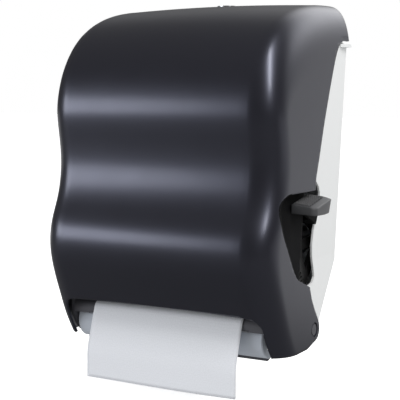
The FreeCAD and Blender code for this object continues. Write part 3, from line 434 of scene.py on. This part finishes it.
def cover_place(across, height, depth, cover):
    """A point of the cover's skin: flat front, rounded corner, then the flat side toward the wall."""
    side = 1.0 if across >= 0 else -1.0
    reach = abs(across)
    half, radius = cover.half_width, cover.corner_radius
    back = 0.0
    if reach <= FLAT_COLUMNS:
        x = reach / FLAT_COLUMNS * (half - radius)
        drop = CROWN_DROP * (x / (half - radius)) ** 2
    else:
        turn = math.radians(90) * min(1.0, (reach - FLAT_COLUMNS) / CORNER_COLUMNS)
        x = half - radius + radius * math.sin(turn)
        back = radius * (1 - math.cos(turn))
        drop = CROWN_DROP + SHOULDER_DROP * (1 - math.cos(turn)) ** SHOULDER_POWER
    z = height
    if z > CROWN_START:
        crown = COVER_TOP - CROWN_START
        z = CROWN_START + (z - CROWN_START) * (COVER_TOP - drop - CROWN_START) / crown
    y = min(-0.15, -depth + back * min(1.0, depth / WALL_EASE))
    past = reach - FLAT_COLUMNS - CORNER_COLUMNS
    if past > 0:
        y = y * (1 - past / SIDE_COLUMNS)
    return Vector((side * x * (1 + SIDE_DRAFT * y / DRAFT_REACH), y, z))


def pocket_depth(places):
    """How far the pocket's wall has turned in at each place: 0 at its mouth, 1 at its floor.

    The mouth lies up to 5.5 mm outside the pocket's front and the floor up to 5 mm inside it,
    both closer to it toward the ends.
    """
    front = spline_rows(POCKET_FRONT, 2.0)
    tangent = np.gradient(front, axis=0)
    tangent /= np.linalg.norm(tangent, axis=1)[:, None]
    outward = np.stack([tangent[:, 1], -tangent[:, 0]], axis=1)
    share = np.sin(np.pi * np.linspace(0.06, 0.94, len(front)))[:, None]
    middle = (-120.0, 130.0)
    flip = np.sign(np.sum(outward * (front - middle), axis=1))[:, None]
    outward *= flip
    mouth = [tuple(p) for p in front + outward * 5.5 * share]
    floor = [tuple(p) for p in front - outward * 5.0 * share]
    rear = [(-117, 75.5), (-60, 52), (-60, 190)]
    mouth_gap = outline_distance(places[:, 1:3], mouth + rear)
    floor_gap = outline_distance(places[:, 1:3], floor + [(-117, 75.9), (-60, 52.4), (-60, 189.6)])
    inside = np.clip(-mouth_gap, 0, None)
    outside_floor = np.clip(floor_gap, 0, None)
    depth = inside / np.maximum(inside + outside_floor, 1e-6)
    depth = np.where(mouth_gap > 0, -mouth_gap / 10.0, depth)
    return np.where(places[:, 0] > 130, depth, -1.0)


def cut_edges(bm):
    """Cut the cover's skin along its rear edge, its feet and the arch."""
    edge = [tuple(p) for p in spline_rows(REAR_EDGE, 3.0)]
    ear = arc_points(HINGE, EAR_RADIUS, 40, -60, 12)
    corners = [(-124, -0.5), (-124, BELOW), (60, BELOW), (60, 371.2)]
    behind = edge + list(LOWER_EDGE) + ear + corners
    cut_out(bm, lambda p: outline_distance(p[:, 1:3], behind))

    corner = arc_points(ARCH_CORNER, ARCH_RADIUS, -15, 90, 9)
    crown = [(x, ARCH_TOP + ARCH_RISE * (1 - (x / 119.0) ** 2)) for x in range(105, -106, -15)]
    mirrored = [(-x, z) for x, z in reversed(corner)]
    arch = [(ARCH_FOOT, BELOW)] + corner + crown + mirrored + [(-ARCH_FOOT, BELOW)]

    def arch_distance(places):
        gap = outline_distance(places[:, [0, 2]], arch)
        return np.where(places[:, 1] < -130, gap, FAR)

    cut_out(bm, arch_distance)


def cut_holes(bm):
    """Cut the lock's hole in the top and the dished pin holes in the two ears."""
    def lock_distance(places):
        gap = np.hypot(places[:, 0] - LOCK_PLACE[0], places[:, 1] - LOCK_PLACE[1]) - LOCK_HOLE
        return np.where(places[:, 2] > 400, gap, FAR)

    cut_out(bm, lock_distance)

    def ear_distance(radius):
        """Measure from a circle round the hinge, on the two sides only."""
        def measure(places):
            gap = np.hypot(places[:, 1] - HINGE[0], places[:, 2] - HINGE[1]) - radius
            return np.where(np.abs(places[:, 0]) > 140, gap, FAR)
        return measure

    cut_along(bm, values_for(bm, ear_distance(PIN_RIM)))
    dish = values_for(bm, ear_distance(PIN_DISH))
    cut_along(bm, dish)
    for vert, value in dish.items():
        if value < 0.05:
            vert.co.x -= math.copysign(DISH_DEPTH, vert.co.x)
    cut_out(bm, ear_distance(PIN_HOLE))


def press_pocket(bm):
    """Press the lever's pocket into the right side, on a quarter round, and mark its faces for the
    near-black painted shade of the recess.
    """
    for level in (0.001, 0.35, 0.65, 0.85, 0.97, 0.999):
        cut_along(bm, values_for(bm, pocket_depth), level)
    for vert, value in values_for(bm, pocket_depth).items():
        if value > 0.002:
            share = 1 - math.sqrt(max(0.0, 1 - min(1.0, value) ** 2))
            if value > 0.99:
                share = 1.0
            vert.co.x += (POCKET_FLOOR_X - vert.co.x) * share
    bm.faces.ensure_lookup_table()
    sunk = pocket_depth(np.array([face.calc_center_median() for face in bm.faces]))
    # Faces sunk past 2 % take slot 1, the near-black painted shade of the recess
    for face, share in zip(bm.faces, sunk):
        if share > 0.02:
            face.material_index = 1


def cover_mesh(cover):
    """The cover's outer skin, cut to its edges, with the lever pocket pressed in."""
    rows = spline_rows(WAVE, 3.2)
    rows[-1] = (COVER_TOP - 0.1, 0.0)
    bm = bmesh.new()
    reach = FLAT_COLUMNS + CORNER_COLUMNS + SIDE_COLUMNS
    bmesh.ops.create_grid(bm, x_segments=2 * reach, y_segments=len(rows) - 1, size=1.0)
    for vert in bm.verts:
        height, depth = rows[int(round((vert.co.y + 1) / 2 * (len(rows) - 1)))]
        vert.co = cover_place(vert.co.x * reach, height, depth, cover)
    bmesh.ops.remove_doubles(bm, verts=bm.verts, dist=0.002)
    cut_edges(bm)
    cut_holes(bm)
    press_pocket(bm)
    bmesh.ops.recalc_face_normals(bm, faces=bm.faces)
    front = max(bm.faces, key=lambda f: -f.calc_center_median().y)
    if front.normal.y > 0:
        bmesh.ops.reverse_faces(bm, faces=bm.faces)
    to_row_frame(bm)
    return mesh_from(bm, "cover_skin", 38)


class CoverSettings(bpy.types.PropertyGroup):
    """Sizes of the cover's skin."""
    half_width: bpy.props.FloatProperty(
        name="Half width", description="Half width at the wall, mm", default=160.0)
    corner_radius: bpy.props.FloatProperty(
        name="Corner radius", description="Front corner radius, mm", default=36.0)
    thickness: bpy.props.FloatProperty(
        name="Wall", description="Moulding thickness, mm", default=3.0)


class LookSettings(bpy.types.PropertyGroup):
    """Colours and gloss of the main finishes."""
    cover_colour: bpy.props.FloatVectorProperty(
        name="Cover", description="Cover colour", subtype="COLOR", size=3, min=0, max=1,
        default=(0.0095, 0.0092, 0.0125))
    cover_roughness: bpy.props.FloatProperty(
        name="Cover gloss", description="Cover roughness", min=0, max=1, default=0.33)
    wall_colour: bpy.props.FloatVectorProperty(
        name="Chassis", description="Chassis colour", subtype="COLOR", size=3, min=0, max=1,
        default=(0.80, 0.81, 0.82))


class StageSettings(bpy.types.PropertyGroup):
    """Camera and light of the photograph's view."""
    azimuth: bpy.props.FloatProperty(
        name="Azimuth", description="Camera angle round the object, degrees", default=28.9)
    pitch: bpy.props.FloatProperty(
        name="Pitch", description="Camera height angle, degrees", default=6.0)
    band: bpy.props.FloatProperty(
        name="Front strip", description="Low front strip light, W", default=10.6)
    edge: bpy.props.FloatProperty(
        name="Right strip", description="Upright strip at the right, W", default=17.0)
    room_front: bpy.props.FloatProperty(
        name="Room front", description="Reflected brightness in front", default=0.095)
    fill: bpy.props.FloatProperty(
        name="Fill", description="Soft light from all round", default=0.42)
    room_back: bpy.props.FloatProperty(
        name="Room back", description="Brightness behind the object", default=0.5)
    ceiling: bpy.props.FloatProperty(
        name="Ceiling", description="Extra brightness overhead", default=0.1)
    window: bpy.props.FloatProperty(
        name="Window", description="Brightness high behind the object", default=2.6)


class DISPENSER_OT_cover(bpy.types.Operator):
    """Build the waved cover with its arch, edges and lever pocket"""
    bl_idname = "dispenser.cover"
    bl_label = "Waved Cover"

    def execute(self, context):
        cover = context.scene.dispenser_cover
        mesh = cover_mesh(cover)
        piece = new_piece("cover_skin", mesh, "cover_door", finish("pearl_plastic"),
                          "cover")
        # Slot 1 is the near-black painted shade inside the lever pocket
        piece.data.materials.append(finish("painted_pocket_shade"))
        shell = piece.modifiers.new("wall", "SOLIDIFY")
        shell.thickness = cover.thickness / 1000.0
        shell.offset = -1.0
        return {"FINISHED"}


def pad_droop(x, z):
    """How far the pad sags toward its outer end, most along its top."""
    out = max(0.0, (x - PAD_INNER) / PAD_WIDTH)
    return out * (3.0 if z > PAD_SPLIT else 1.6) + 1.6 * max(0.0, out - 0.7) / 0.3 * (z > PAD_SPLIT)


def bevel_edges(bm, edges, offset, segments):
    """Round the given edges."""
    bmesh.ops.bevel(bm, geom=edges, offset=offset, segments=segments, affect="EDGES", profile=0.5,
                    material=-1)


class DISPENSER_OT_pad(bpy.types.Operator):
    """Build the lever's thumb pad"""
    bl_idname = "dispenser.pad"
    bl_label = "Lever Pad"

    def execute(self, context):
        bm = bmesh.new()
        corners = [bm.verts.new((PAD_INNER, y, z)) for y, z in PAD_OUTLINE]
        face = bm.faces.new(corners)
        grown = bmesh.ops.extrude_face_region(bm, geom=[face])
        far = [v for v in grown["geom"] if isinstance(v, bmesh.types.BMVert)]
        bmesh.ops.translate(bm, vec=(PAD_WIDTH, 0, 0), verts=far)
        bmesh.ops.recalc_face_normals(bm, faces=bm.faces)
        upright = [e for e in bm.edges if all(v.co.x > 170 and v.co.y < -140 for v in e.verts)]
        bevel_edges(bm, upright, 7.0, 8)
        sharp = [e for e in bm.edges if len(e.link_faces) == 2 and e.calc_face_angle() > 0.5]
        bevel_edges(bm, sharp, 1.2, 3)
        top = [e for e in bm.edges
               if e.calc_length() > 18 and all(v.co.z > PAD_SPLIT for v in e.verts)]
        bmesh.ops.subdivide_edges(bm, edges=top, cuts=5, use_grid_fill=True)
        for vert in bm.verts:
            vert.co.z -= pad_droop(vert.co.x, vert.co.z)
        to_row_frame(bm)
        mesh = mesh_from(bm, "thumb_pad", 40)
        new_piece("thumb_pad", mesh, "lever", finish("pad_plastic"), "lever_pad")
        return {"FINISHED"}


def add_rib(bm, start, end):
    """One grip rib between two points (x, y) on the pad's sloping top."""
    across, along = end[0] - start[0], end[1] - start[1]
    rib = bmesh.ops.create_cube(bm, size=1.0)["verts"]
    bmesh.ops.scale(bm, vec=(1.1, math.hypot(along, across), 1.5), verts=rib)
    bmesh.ops.scale(bm, vec=(0.35, 0.99, 1), verts=[v for v in rib if v.co.z > 0])
    turn = Matrix.Rotation(-math.atan2(across, along), 4, "Z")
    tilt = Matrix.Rotation(PAD_SLOPE, 4, "X")
    x, y = (start[0] + end[0]) / 2, (start[1] + end[1]) / 2
    z = PAD_TOP[1] + (y - PAD_TOP[0]) * math.tan(PAD_SLOPE) + 0.25
    bmesh.ops.transform(bm, matrix=Matrix.Translation((x, y, z)) @ tilt @ turn, verts=rib)


class DISPENSER_OT_grip(bpy.types.Operator):
    """Build the crossed ribs on the lever pad"""
    bl_idname = "dispenser.grip"
    bl_label = "Pad Grip"

    def execute(self, context):
        bm = bmesh.new()
        front, rear, left, right = -142.5, -101.0, 147.0, 167.0
        spacing, lean_across = 2.5, 16.0
        for step in range(-9, 14):
            for lean in (lean_across, -lean_across):
                start = (left if lean > 0 else left + lean_across) + step * spacing
                ends = sorted(((left - start) / lean, (right - start) / lean))
                a, b = max(0.0, ends[0]), min(1.0, ends[1])
                if b - a < 0.1:
                    continue
                add_rib(bm, (start + lean * a, front + (rear - front) * a),
                        (start + lean * b, front + (rear - front) * b))
        for vert in bm.verts:
            vert.co.z -= pad_droop(vert.co.x, PAD_SPLIT + 1)
        to_row_frame(bm)
        mesh = mesh_from(bm, "grip_ribs", 30)
        new_piece("grip_ribs", mesh, "lever", finish("grip_rubber"), "pad_grip")
        return {"FINISHED"}


def fillet_length(before, corner, after, radius):
    """How far back from a corner a fillet of that radius starts."""
    a = (Vector(corner) - Vector(before)).normalized()
    b = (Vector(after) - Vector(corner)).normalized()
    return radius * math.tan(a.angle(b) / 2)


def round_point(centre, radius, degrees):
    """The point (y, z) at an angle above the inward side of a circle."""
    turn = math.radians(degrees)
    return (centre[0] + radius * math.cos(turn), centre[1] + radius * math.sin(turn))


def towel_path():
    """The towel's corners in (y, z), from the roll to its torn edge."""
    leave = round_point(ROLL_CENTRE, TOWEL_ON_ROLL, -20)
    nip = round_point(FEED_CENTRE, TOWEL_ON_FEED, 75)
    down = Vector((-math.sin(math.radians(20)), -math.cos(math.radians(20))))
    back = Vector((math.sin(math.radians(75)), -math.cos(math.radians(75))))
    cross = down.x * back.y - down.y * back.x
    run = ((nip[0] - leave[0]) * back.y - (nip[1] - leave[1]) * back.x) / cross
    corner = (leave[0] + down.x * run, leave[1] + down.y * run)
    knee = (nip[0] - back.x * 33.4, nip[1] - back.y * 33.4)
    return [leave, corner, knee, (-207.0, -12.0), (-209.0, -47.0)]


def hang_softly(bm):
    """Let the hanging end wave a little and lean out at its corners."""
    for vert in bm.verts:
        x, y, z = vert.co
        if z < 20 and y < -185:
            fall = min(1.0, (20 - z) / 60.0)
            vert.co.y -= 0.8 * fall * math.sin(x / 31.0 + 0.7)
            vert.co.y += 1.6 * fall ** 2 * (abs(x) / (TOWEL_WIDTH / 2)) ** 3


class DISPENSER_OT_towel(bpy.types.Operator):
    """Build the paper towel from the roll, through the nip and over the tear bar"""
    bl_idname = "dispenser.towel"
    bl_label = "Paper Towel"

    def execute(self, context):
        path = towel_path()
        radii = (18.0, 12.0, 60.0)
        bm = bmesh.new()
        chain = [bm.verts.new((-TOWEL_WIDTH / 2, y, z)) for y, z in path]
        for a, b in zip(chain, chain[1:]):
            bm.edges.new((a, b))
        for vert, before, corner, after, radius in zip(chain[1:], path, path[1:], path[2:], radii):
            bmesh.ops.bevel(bm, geom=[vert], offset=fillet_length(before, corner, after, radius),
                            segments=12, affect="VERTICES", profile=0.5, material=-1)
        for edge in [e for e in bm.edges if e.calc_length() > 12]:
            bmesh.ops.subdivide_edges(bm, edges=[edge], cuts=int(edge.calc_length() / 5))
        edges = list(bm.edges)
        columns = 52
        for _ in range(columns):
            grown = bmesh.ops.extrude_edge_only(bm, edges=edges)["geom"]
            verts = [g for g in grown if isinstance(g, bmesh.types.BMVert)]
            edges = [g for g in grown if isinstance(g, bmesh.types.BMEdge)
                     and all(v in verts for v in g.verts)]
            bmesh.ops.translate(bm, vec=(TOWEL_WIDTH / columns, 0, 0), verts=verts)
        uv = bm.loops.layers.uv.new("weave")
        for face in bm.faces:
            for loop in face.loops:
                co = loop.vert.co
                loop[uv].uv = (co.x / 1000.0, (co.z - 0.35 * co.y) / 1000.0)
        hang_softly(bm)
        bmesh.ops.recalc_face_normals(bm, faces=bm.faces)
        to_row_frame(bm)
        mesh = mesh_from(bm, "towel_web", 180)
        piece = new_piece("towel_web", mesh, "chassis", finish("towel"), "towel_sheet")
        ply = piece.modifiers.new("ply", "SOLIDIFY")
        ply.thickness = 0.0004
        ply.offset = 0.0
        return {"FINISHED"}


class DISPENSER_OT_roll(bpy.types.Operator):
    """Build the towel roll with wound, slightly uneven ends"""
    bl_idname = "dispenser.roll"
    bl_label = "Towel Roll"

    def execute(self, context):
        bm = bmesh.new()
        half, outer, inner = TOWEL_WIDTH / 2, ROLL_RADIUS, 21.5
        rings = 30
        section = [(-half, inner)]
        for i in range(1, rings):
            wave = 0.25 * math.sin(i * 2.1) + 0.2 * math.sin(i * 0.9)
            section.append((-half + 0.6 + wave, inner + (outer - inner) * i / rings))
        section += [(-half + 1.0, outer - 0.4), (-half + 2.0, outer)]
        section += [(half - 2.0, outer), (half - 1.0, outer - 0.4)]
        for i in range(rings - 1, 0, -1):
            wave = 0.25 * math.sin(i * 1.7) + 0.2 * math.sin(i * 1.1)
            section.append((half - 0.6 - wave, inner + (outer - inner) * i / rings))
        section.append((half, inner))
        y, z = ROLL_CENTRE
        verts = [bm.verts.new((x, y, z + r)) for x, r in section]
        edges = [bm.edges.new((a, b)) for a, b in zip(verts, verts[1:] + verts[:1])]
        bmesh.ops.spin(bm, geom=verts + edges, cent=(0, y, z), axis=(1, 0, 0), angle=math.tau,
                       steps=96, use_merge=True)
        bmesh.ops.recalc_face_normals(bm, faces=bm.faces)
        to_row_frame(bm)
        mesh = mesh_from(bm, "wound_roll", 40)
        new_piece("wound_roll", mesh, "towel_supply", finish("roll_paper"), "towel_roll")
        return {"FINISHED"}


class DISPENSER_OT_finishes(bpy.types.Operator):
    """Give every carried part its own moulded, steel or rubber finish"""
    bl_idname = "dispenser.finishes"
    bl_label = "Part Finishes"

    def execute(self, context):
        looks = {
            "white_plastic": ("back_plate", "side_wall_left", "side_wall_right", "lock_strike",
                              "roll_arm_left", "roll_arm_right"),
            "dark_plastic": ("roller_frame_left", "roller_frame_right", "gear_plate", "base_tray",
                             "paper_guide", "tear_bar", "hinge_pins"),
            # The lever arm under the pad takes the pocket's near-black painted shade
            "painted_pocket_shade": ("lever_arm",),
            "grey_plastic": ("feed_drum", "core_hub_left", "core_hub_right", "hub_collar_left",
                             "hub_collar_right"),
            "black_acetal": ("idler_gear", "sector_gear"),
            "acetal": ("drive_pinion", "shaft_bushes"),
            "zinc_steel": ("frame_screws", "tear_blade", "idler_axle", "lever_axle", "arm_pins",
                           "feed_shaft", "pinch_shaft", "lock_barrel", "lock_nut", "lock_plug",
                           "lock_cam"),
            "spring_steel": ("lever_spring",),
            "dark_rubber": ("lever_bumper", "feed_bands", "pinch_rollers"),
            "kraft_card": ("roll_core",),
        }
        for name, nodes in looks.items():
            material = finish(name)
            for node in nodes:
                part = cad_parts[node]
                if not part.material_slots:
                    part.data.materials.append(material)
                for slot in part.material_slots:
                    slot.material = material
        return {"FINISHED"}


def soft_light(name, size, place, aim, power, colour=(1, 1, 1)):
    """A rectangular soft light aimed at a point."""
    data = bpy.data.lights.new(name, "AREA")
    data.shape = "RECTANGLE"
    data.size, data.size_y = size
    data.energy = power
    data.color = colour
    light = bpy.data.objects.new(name, data)
    light.location = place
    light.rotation_euler = (Vector(aim) - Vector(place)).to_track_quat("-Z", "Y").to_euler()
    bpy.context.scene.collection.objects.link(light)


def pick(tree, switch, off, on):
    """One value or another by a switch that is 0 or 1."""
    node = tree.nodes.new("ShaderNodeMapRange")
    for name, level in (("To Min", off), ("To Max", on)):
        if isinstance(level, bpy.types.NodeSocket):
            tree.links.new(level, node.inputs[name])
        else:
            node.inputs[name].default_value = level
    tree.links.new(switch, node.inputs["Value"])
    return node.outputs["Result"]


def combine(tree, operation, first, second):
    """Add or multiply two values."""
    node = tree.nodes.new("ShaderNodeMath")
    node.operation = operation
    tree.links.new(first, node.inputs[0])
    tree.links.new(second, node.inputs[1])
    return node.outputs["Value"]


def room_side(tree, axis, between, levels):
    """A soft step in the room's brightness along one axis of the world."""
    node = tree.nodes.new("ShaderNodeMapRange")
    node.interpolation_type = "SMOOTHSTEP"
    node.inputs["From Min"].default_value, node.inputs["From Max"].default_value = between
    node.inputs["To Min"].default_value, node.inputs["To Max"].default_value = levels
    tree.links.new(axis, node.inputs["Value"])
    return node.outputs["Result"]


def axes_of(tree, source):
    """The X, Y and Z of a position or direction."""
    axes = tree.nodes.new("ShaderNodeSeparateXYZ")
    tree.links.new(source, axes.inputs["Vector"])
    return axes.outputs


def add_camera(scene, stage):
    """Put the camera where the photograph was taken from."""
    azimuth, pitch = math.radians(stage.azimuth), math.radians(stage.pitch)
    forward = Vector((-math.sin(azimuth) * math.cos(pitch), math.cos(azimuth) * math.cos(pitch),
                      -math.sin(pitch)))
    right = Vector((math.cos(azimuth), math.sin(azimuth), 0))
    turn = Matrix((right, right.cross(forward), -forward)).transposed().to_4x4()
    data = bpy.data.cameras.new("photo_camera")
    data.sensor_width = 36.0
    data.lens = PHOTO_FOCAL * data.sensor_width / PHOTO_WIDTH
    data.clip_end = 50.0
    camera = bpy.data.objects.new("photo_camera", data)
    camera.matrix_world = Matrix.Translation(point(636.6, -1256.4, 309.1)) @ turn
    scene.collection.objects.link(camera)
    scene.camera = camera


def add_floor(scene, stage):
    """A pale floor under the towel, which gloss sees dark in front and paler behind."""
    mesh = bpy.data.meshes.new("floor")
    bm = bmesh.new()
    bmesh.ops.create_grid(bm, x_segments=1, y_segments=1, size=12.0)
    bmesh.ops.translate(bm, vec=(0, 0, CAD_BOX[0][2] - 0.012), verts=bm.verts)
    bm.to_mesh(mesh)
    bm.free()
    floor = bpy.data.objects.new("floor", mesh)
    scene.collection.objects.link(floor)
    paint = bpy.data.materials.new("floor_paint")
    paint.use_nodes = True
    tree = paint.node_tree
    shader = tree.nodes["Principled BSDF"]
    shader.inputs["Roughness"].default_value = 0.9
    shader.inputs["Emission Color"].default_value = (1, 1, 1, 1)
    path = tree.nodes.new("ShaderNodeLightPath")
    seen = path.outputs["Is Camera Ray"]
    place = tree.nodes.new("ShaderNodeNewGeometry").outputs["Position"]
    glow = room_side(tree, axes_of(tree, place)["Y"], (-0.1, 0.6), (0.0, stage.room_back))
    unseen = pick(tree, path.outputs["Is Glossy Ray"], stage.fill, glow)
    tree.links.new(pick(tree, seen, unseen, 0.68), shader.inputs["Emission Strength"])
    tree.links.new(pick(tree, seen, 0.16, 0.93), shader.inputs["Base Color"])
    mesh.materials.append(paint)


def add_room(scene, stage):
    """A white backdrop for the camera and a soft room, with a window behind, for the object."""
    world = bpy.data.worlds.new("soft_room")
    world.use_nodes = True
    tree = world.node_tree
    sky = tree.nodes["Background"]
    sky.inputs["Color"].default_value = (1, 1, 1, 1)
    path = tree.nodes.new("ShaderNodeLightPath")
    way = axes_of(tree, tree.nodes.new("ShaderNodeTexCoord").outputs["Generated"])
    back = room_side(tree, way["Y"], (0.45, 0.88), (0.0, 1.0))
    right = room_side(tree, way["X"], (-0.4, 0.1), (0.1, 1.0))
    high = room_side(tree, way["Z"], (0.15, 0.45), (stage.room_back, stage.window))
    overhead = room_side(tree, way["Z"], (0.25, 0.95), (0.0, stage.ceiling))
    front = pick(tree, path.outputs["Is Glossy Ray"], stage.fill, stage.room_front)
    behind = combine(tree, "MULTIPLY", combine(tree, "MULTIPLY", back, right), high)
    lit = combine(tree, "ADD", behind, combine(tree, "ADD", front, overhead))
    strength = pick(tree, path.outputs["Is Camera Ray"], lit, 1.0)
    tree.links.new(strength, sky.inputs["Strength"])
    scene.world = world


class DISPENSER_OT_stage(bpy.types.Operator):
    """Set the floor, the soft lights and the photograph's camera"""
    bl_idname = "dispenser.stage"
    bl_label = "Stage"

    def execute(self, context):
        scene = context.scene
        stage = scene.dispenser_stage
        add_camera(scene, stage)
        add_floor(scene, stage)
        add_room(scene, stage)
        aim = point(0, -120, 220)
        soft_light("front_strip", (1.2, 0.5), point(-1270, -1410, 440), aim, stage.band,
                   (0.93, 0.95, 1.0))
        soft_light("right_strip", (0.18, 1.3), point(1210, -690, 1400), aim, stage.edge)
        scene.view_settings.view_transform = "Standard"
        return {"FINISHED"}


class DISPENSER_PT_panel(bpy.types.Panel):
    """Sidebar panel that lists the builders"""
    bl_label = "Lever Towel Dispenser"
    bl_idname = "DISPENSER_PT_panel"
    bl_space_type = "VIEW_3D"
    bl_region_type = "UI"
    bl_category = "Dispenser"

    def draw(self, context):
        scene = context.scene
        for group in (scene.dispenser_cover, scene.dispenser_looks, scene.dispenser_stage):
            for name in group.bl_rna.properties.keys():
                if name not in ("rna_type", "name"):
                    self.layout.prop(group, name)
        for operator in OPERATORS:
            self.layout.operator(operator.bl_idname)


SETTINGS = (CoverSettings, LookSettings, StageSettings)
OPERATORS = (DISPENSER_OT_cover, DISPENSER_OT_pad, DISPENSER_OT_grip, DISPENSER_OT_towel,
             DISPENSER_OT_roll, DISPENSER_OT_finishes, DISPENSER_OT_stage)


def register():
    """Register the classes and hang the settings on the scene."""
    for cls in SETTINGS + OPERATORS + (DISPENSER_PT_panel,):
        bpy.utils.register_class(cls)
    bpy.types.Scene.dispenser_cover = bpy.props.PointerProperty(type=CoverSettings)
    bpy.types.Scene.dispenser_looks = bpy.props.PointerProperty(type=LookSettings)
    bpy.types.Scene.dispenser_stage = bpy.props.PointerProperty(type=StageSettings)


def unregister():
    """Take the settings and classes away again."""
    del bpy.types.Scene.dispenser_stage
    del bpy.types.Scene.dispenser_looks
    del bpy.types.Scene.dispenser_cover
    for cls in reversed(SETTINGS + OPERATORS + (DISPENSER_PT_panel,)):
        bpy.utils.unregister_class(cls)


def main():
    """Build everything in order."""
    register()
    bpy.ops.dispenser.cover()
    bpy.ops.dispenser.pad()
    bpy.ops.dispenser.grip()
    bpy.ops.dispenser.towel()
    bpy.ops.dispenser.roll()
    bpy.ops.dispenser.finishes()
    bpy.ops.dispenser.stage()


if __name__ == "__main__":
    main()
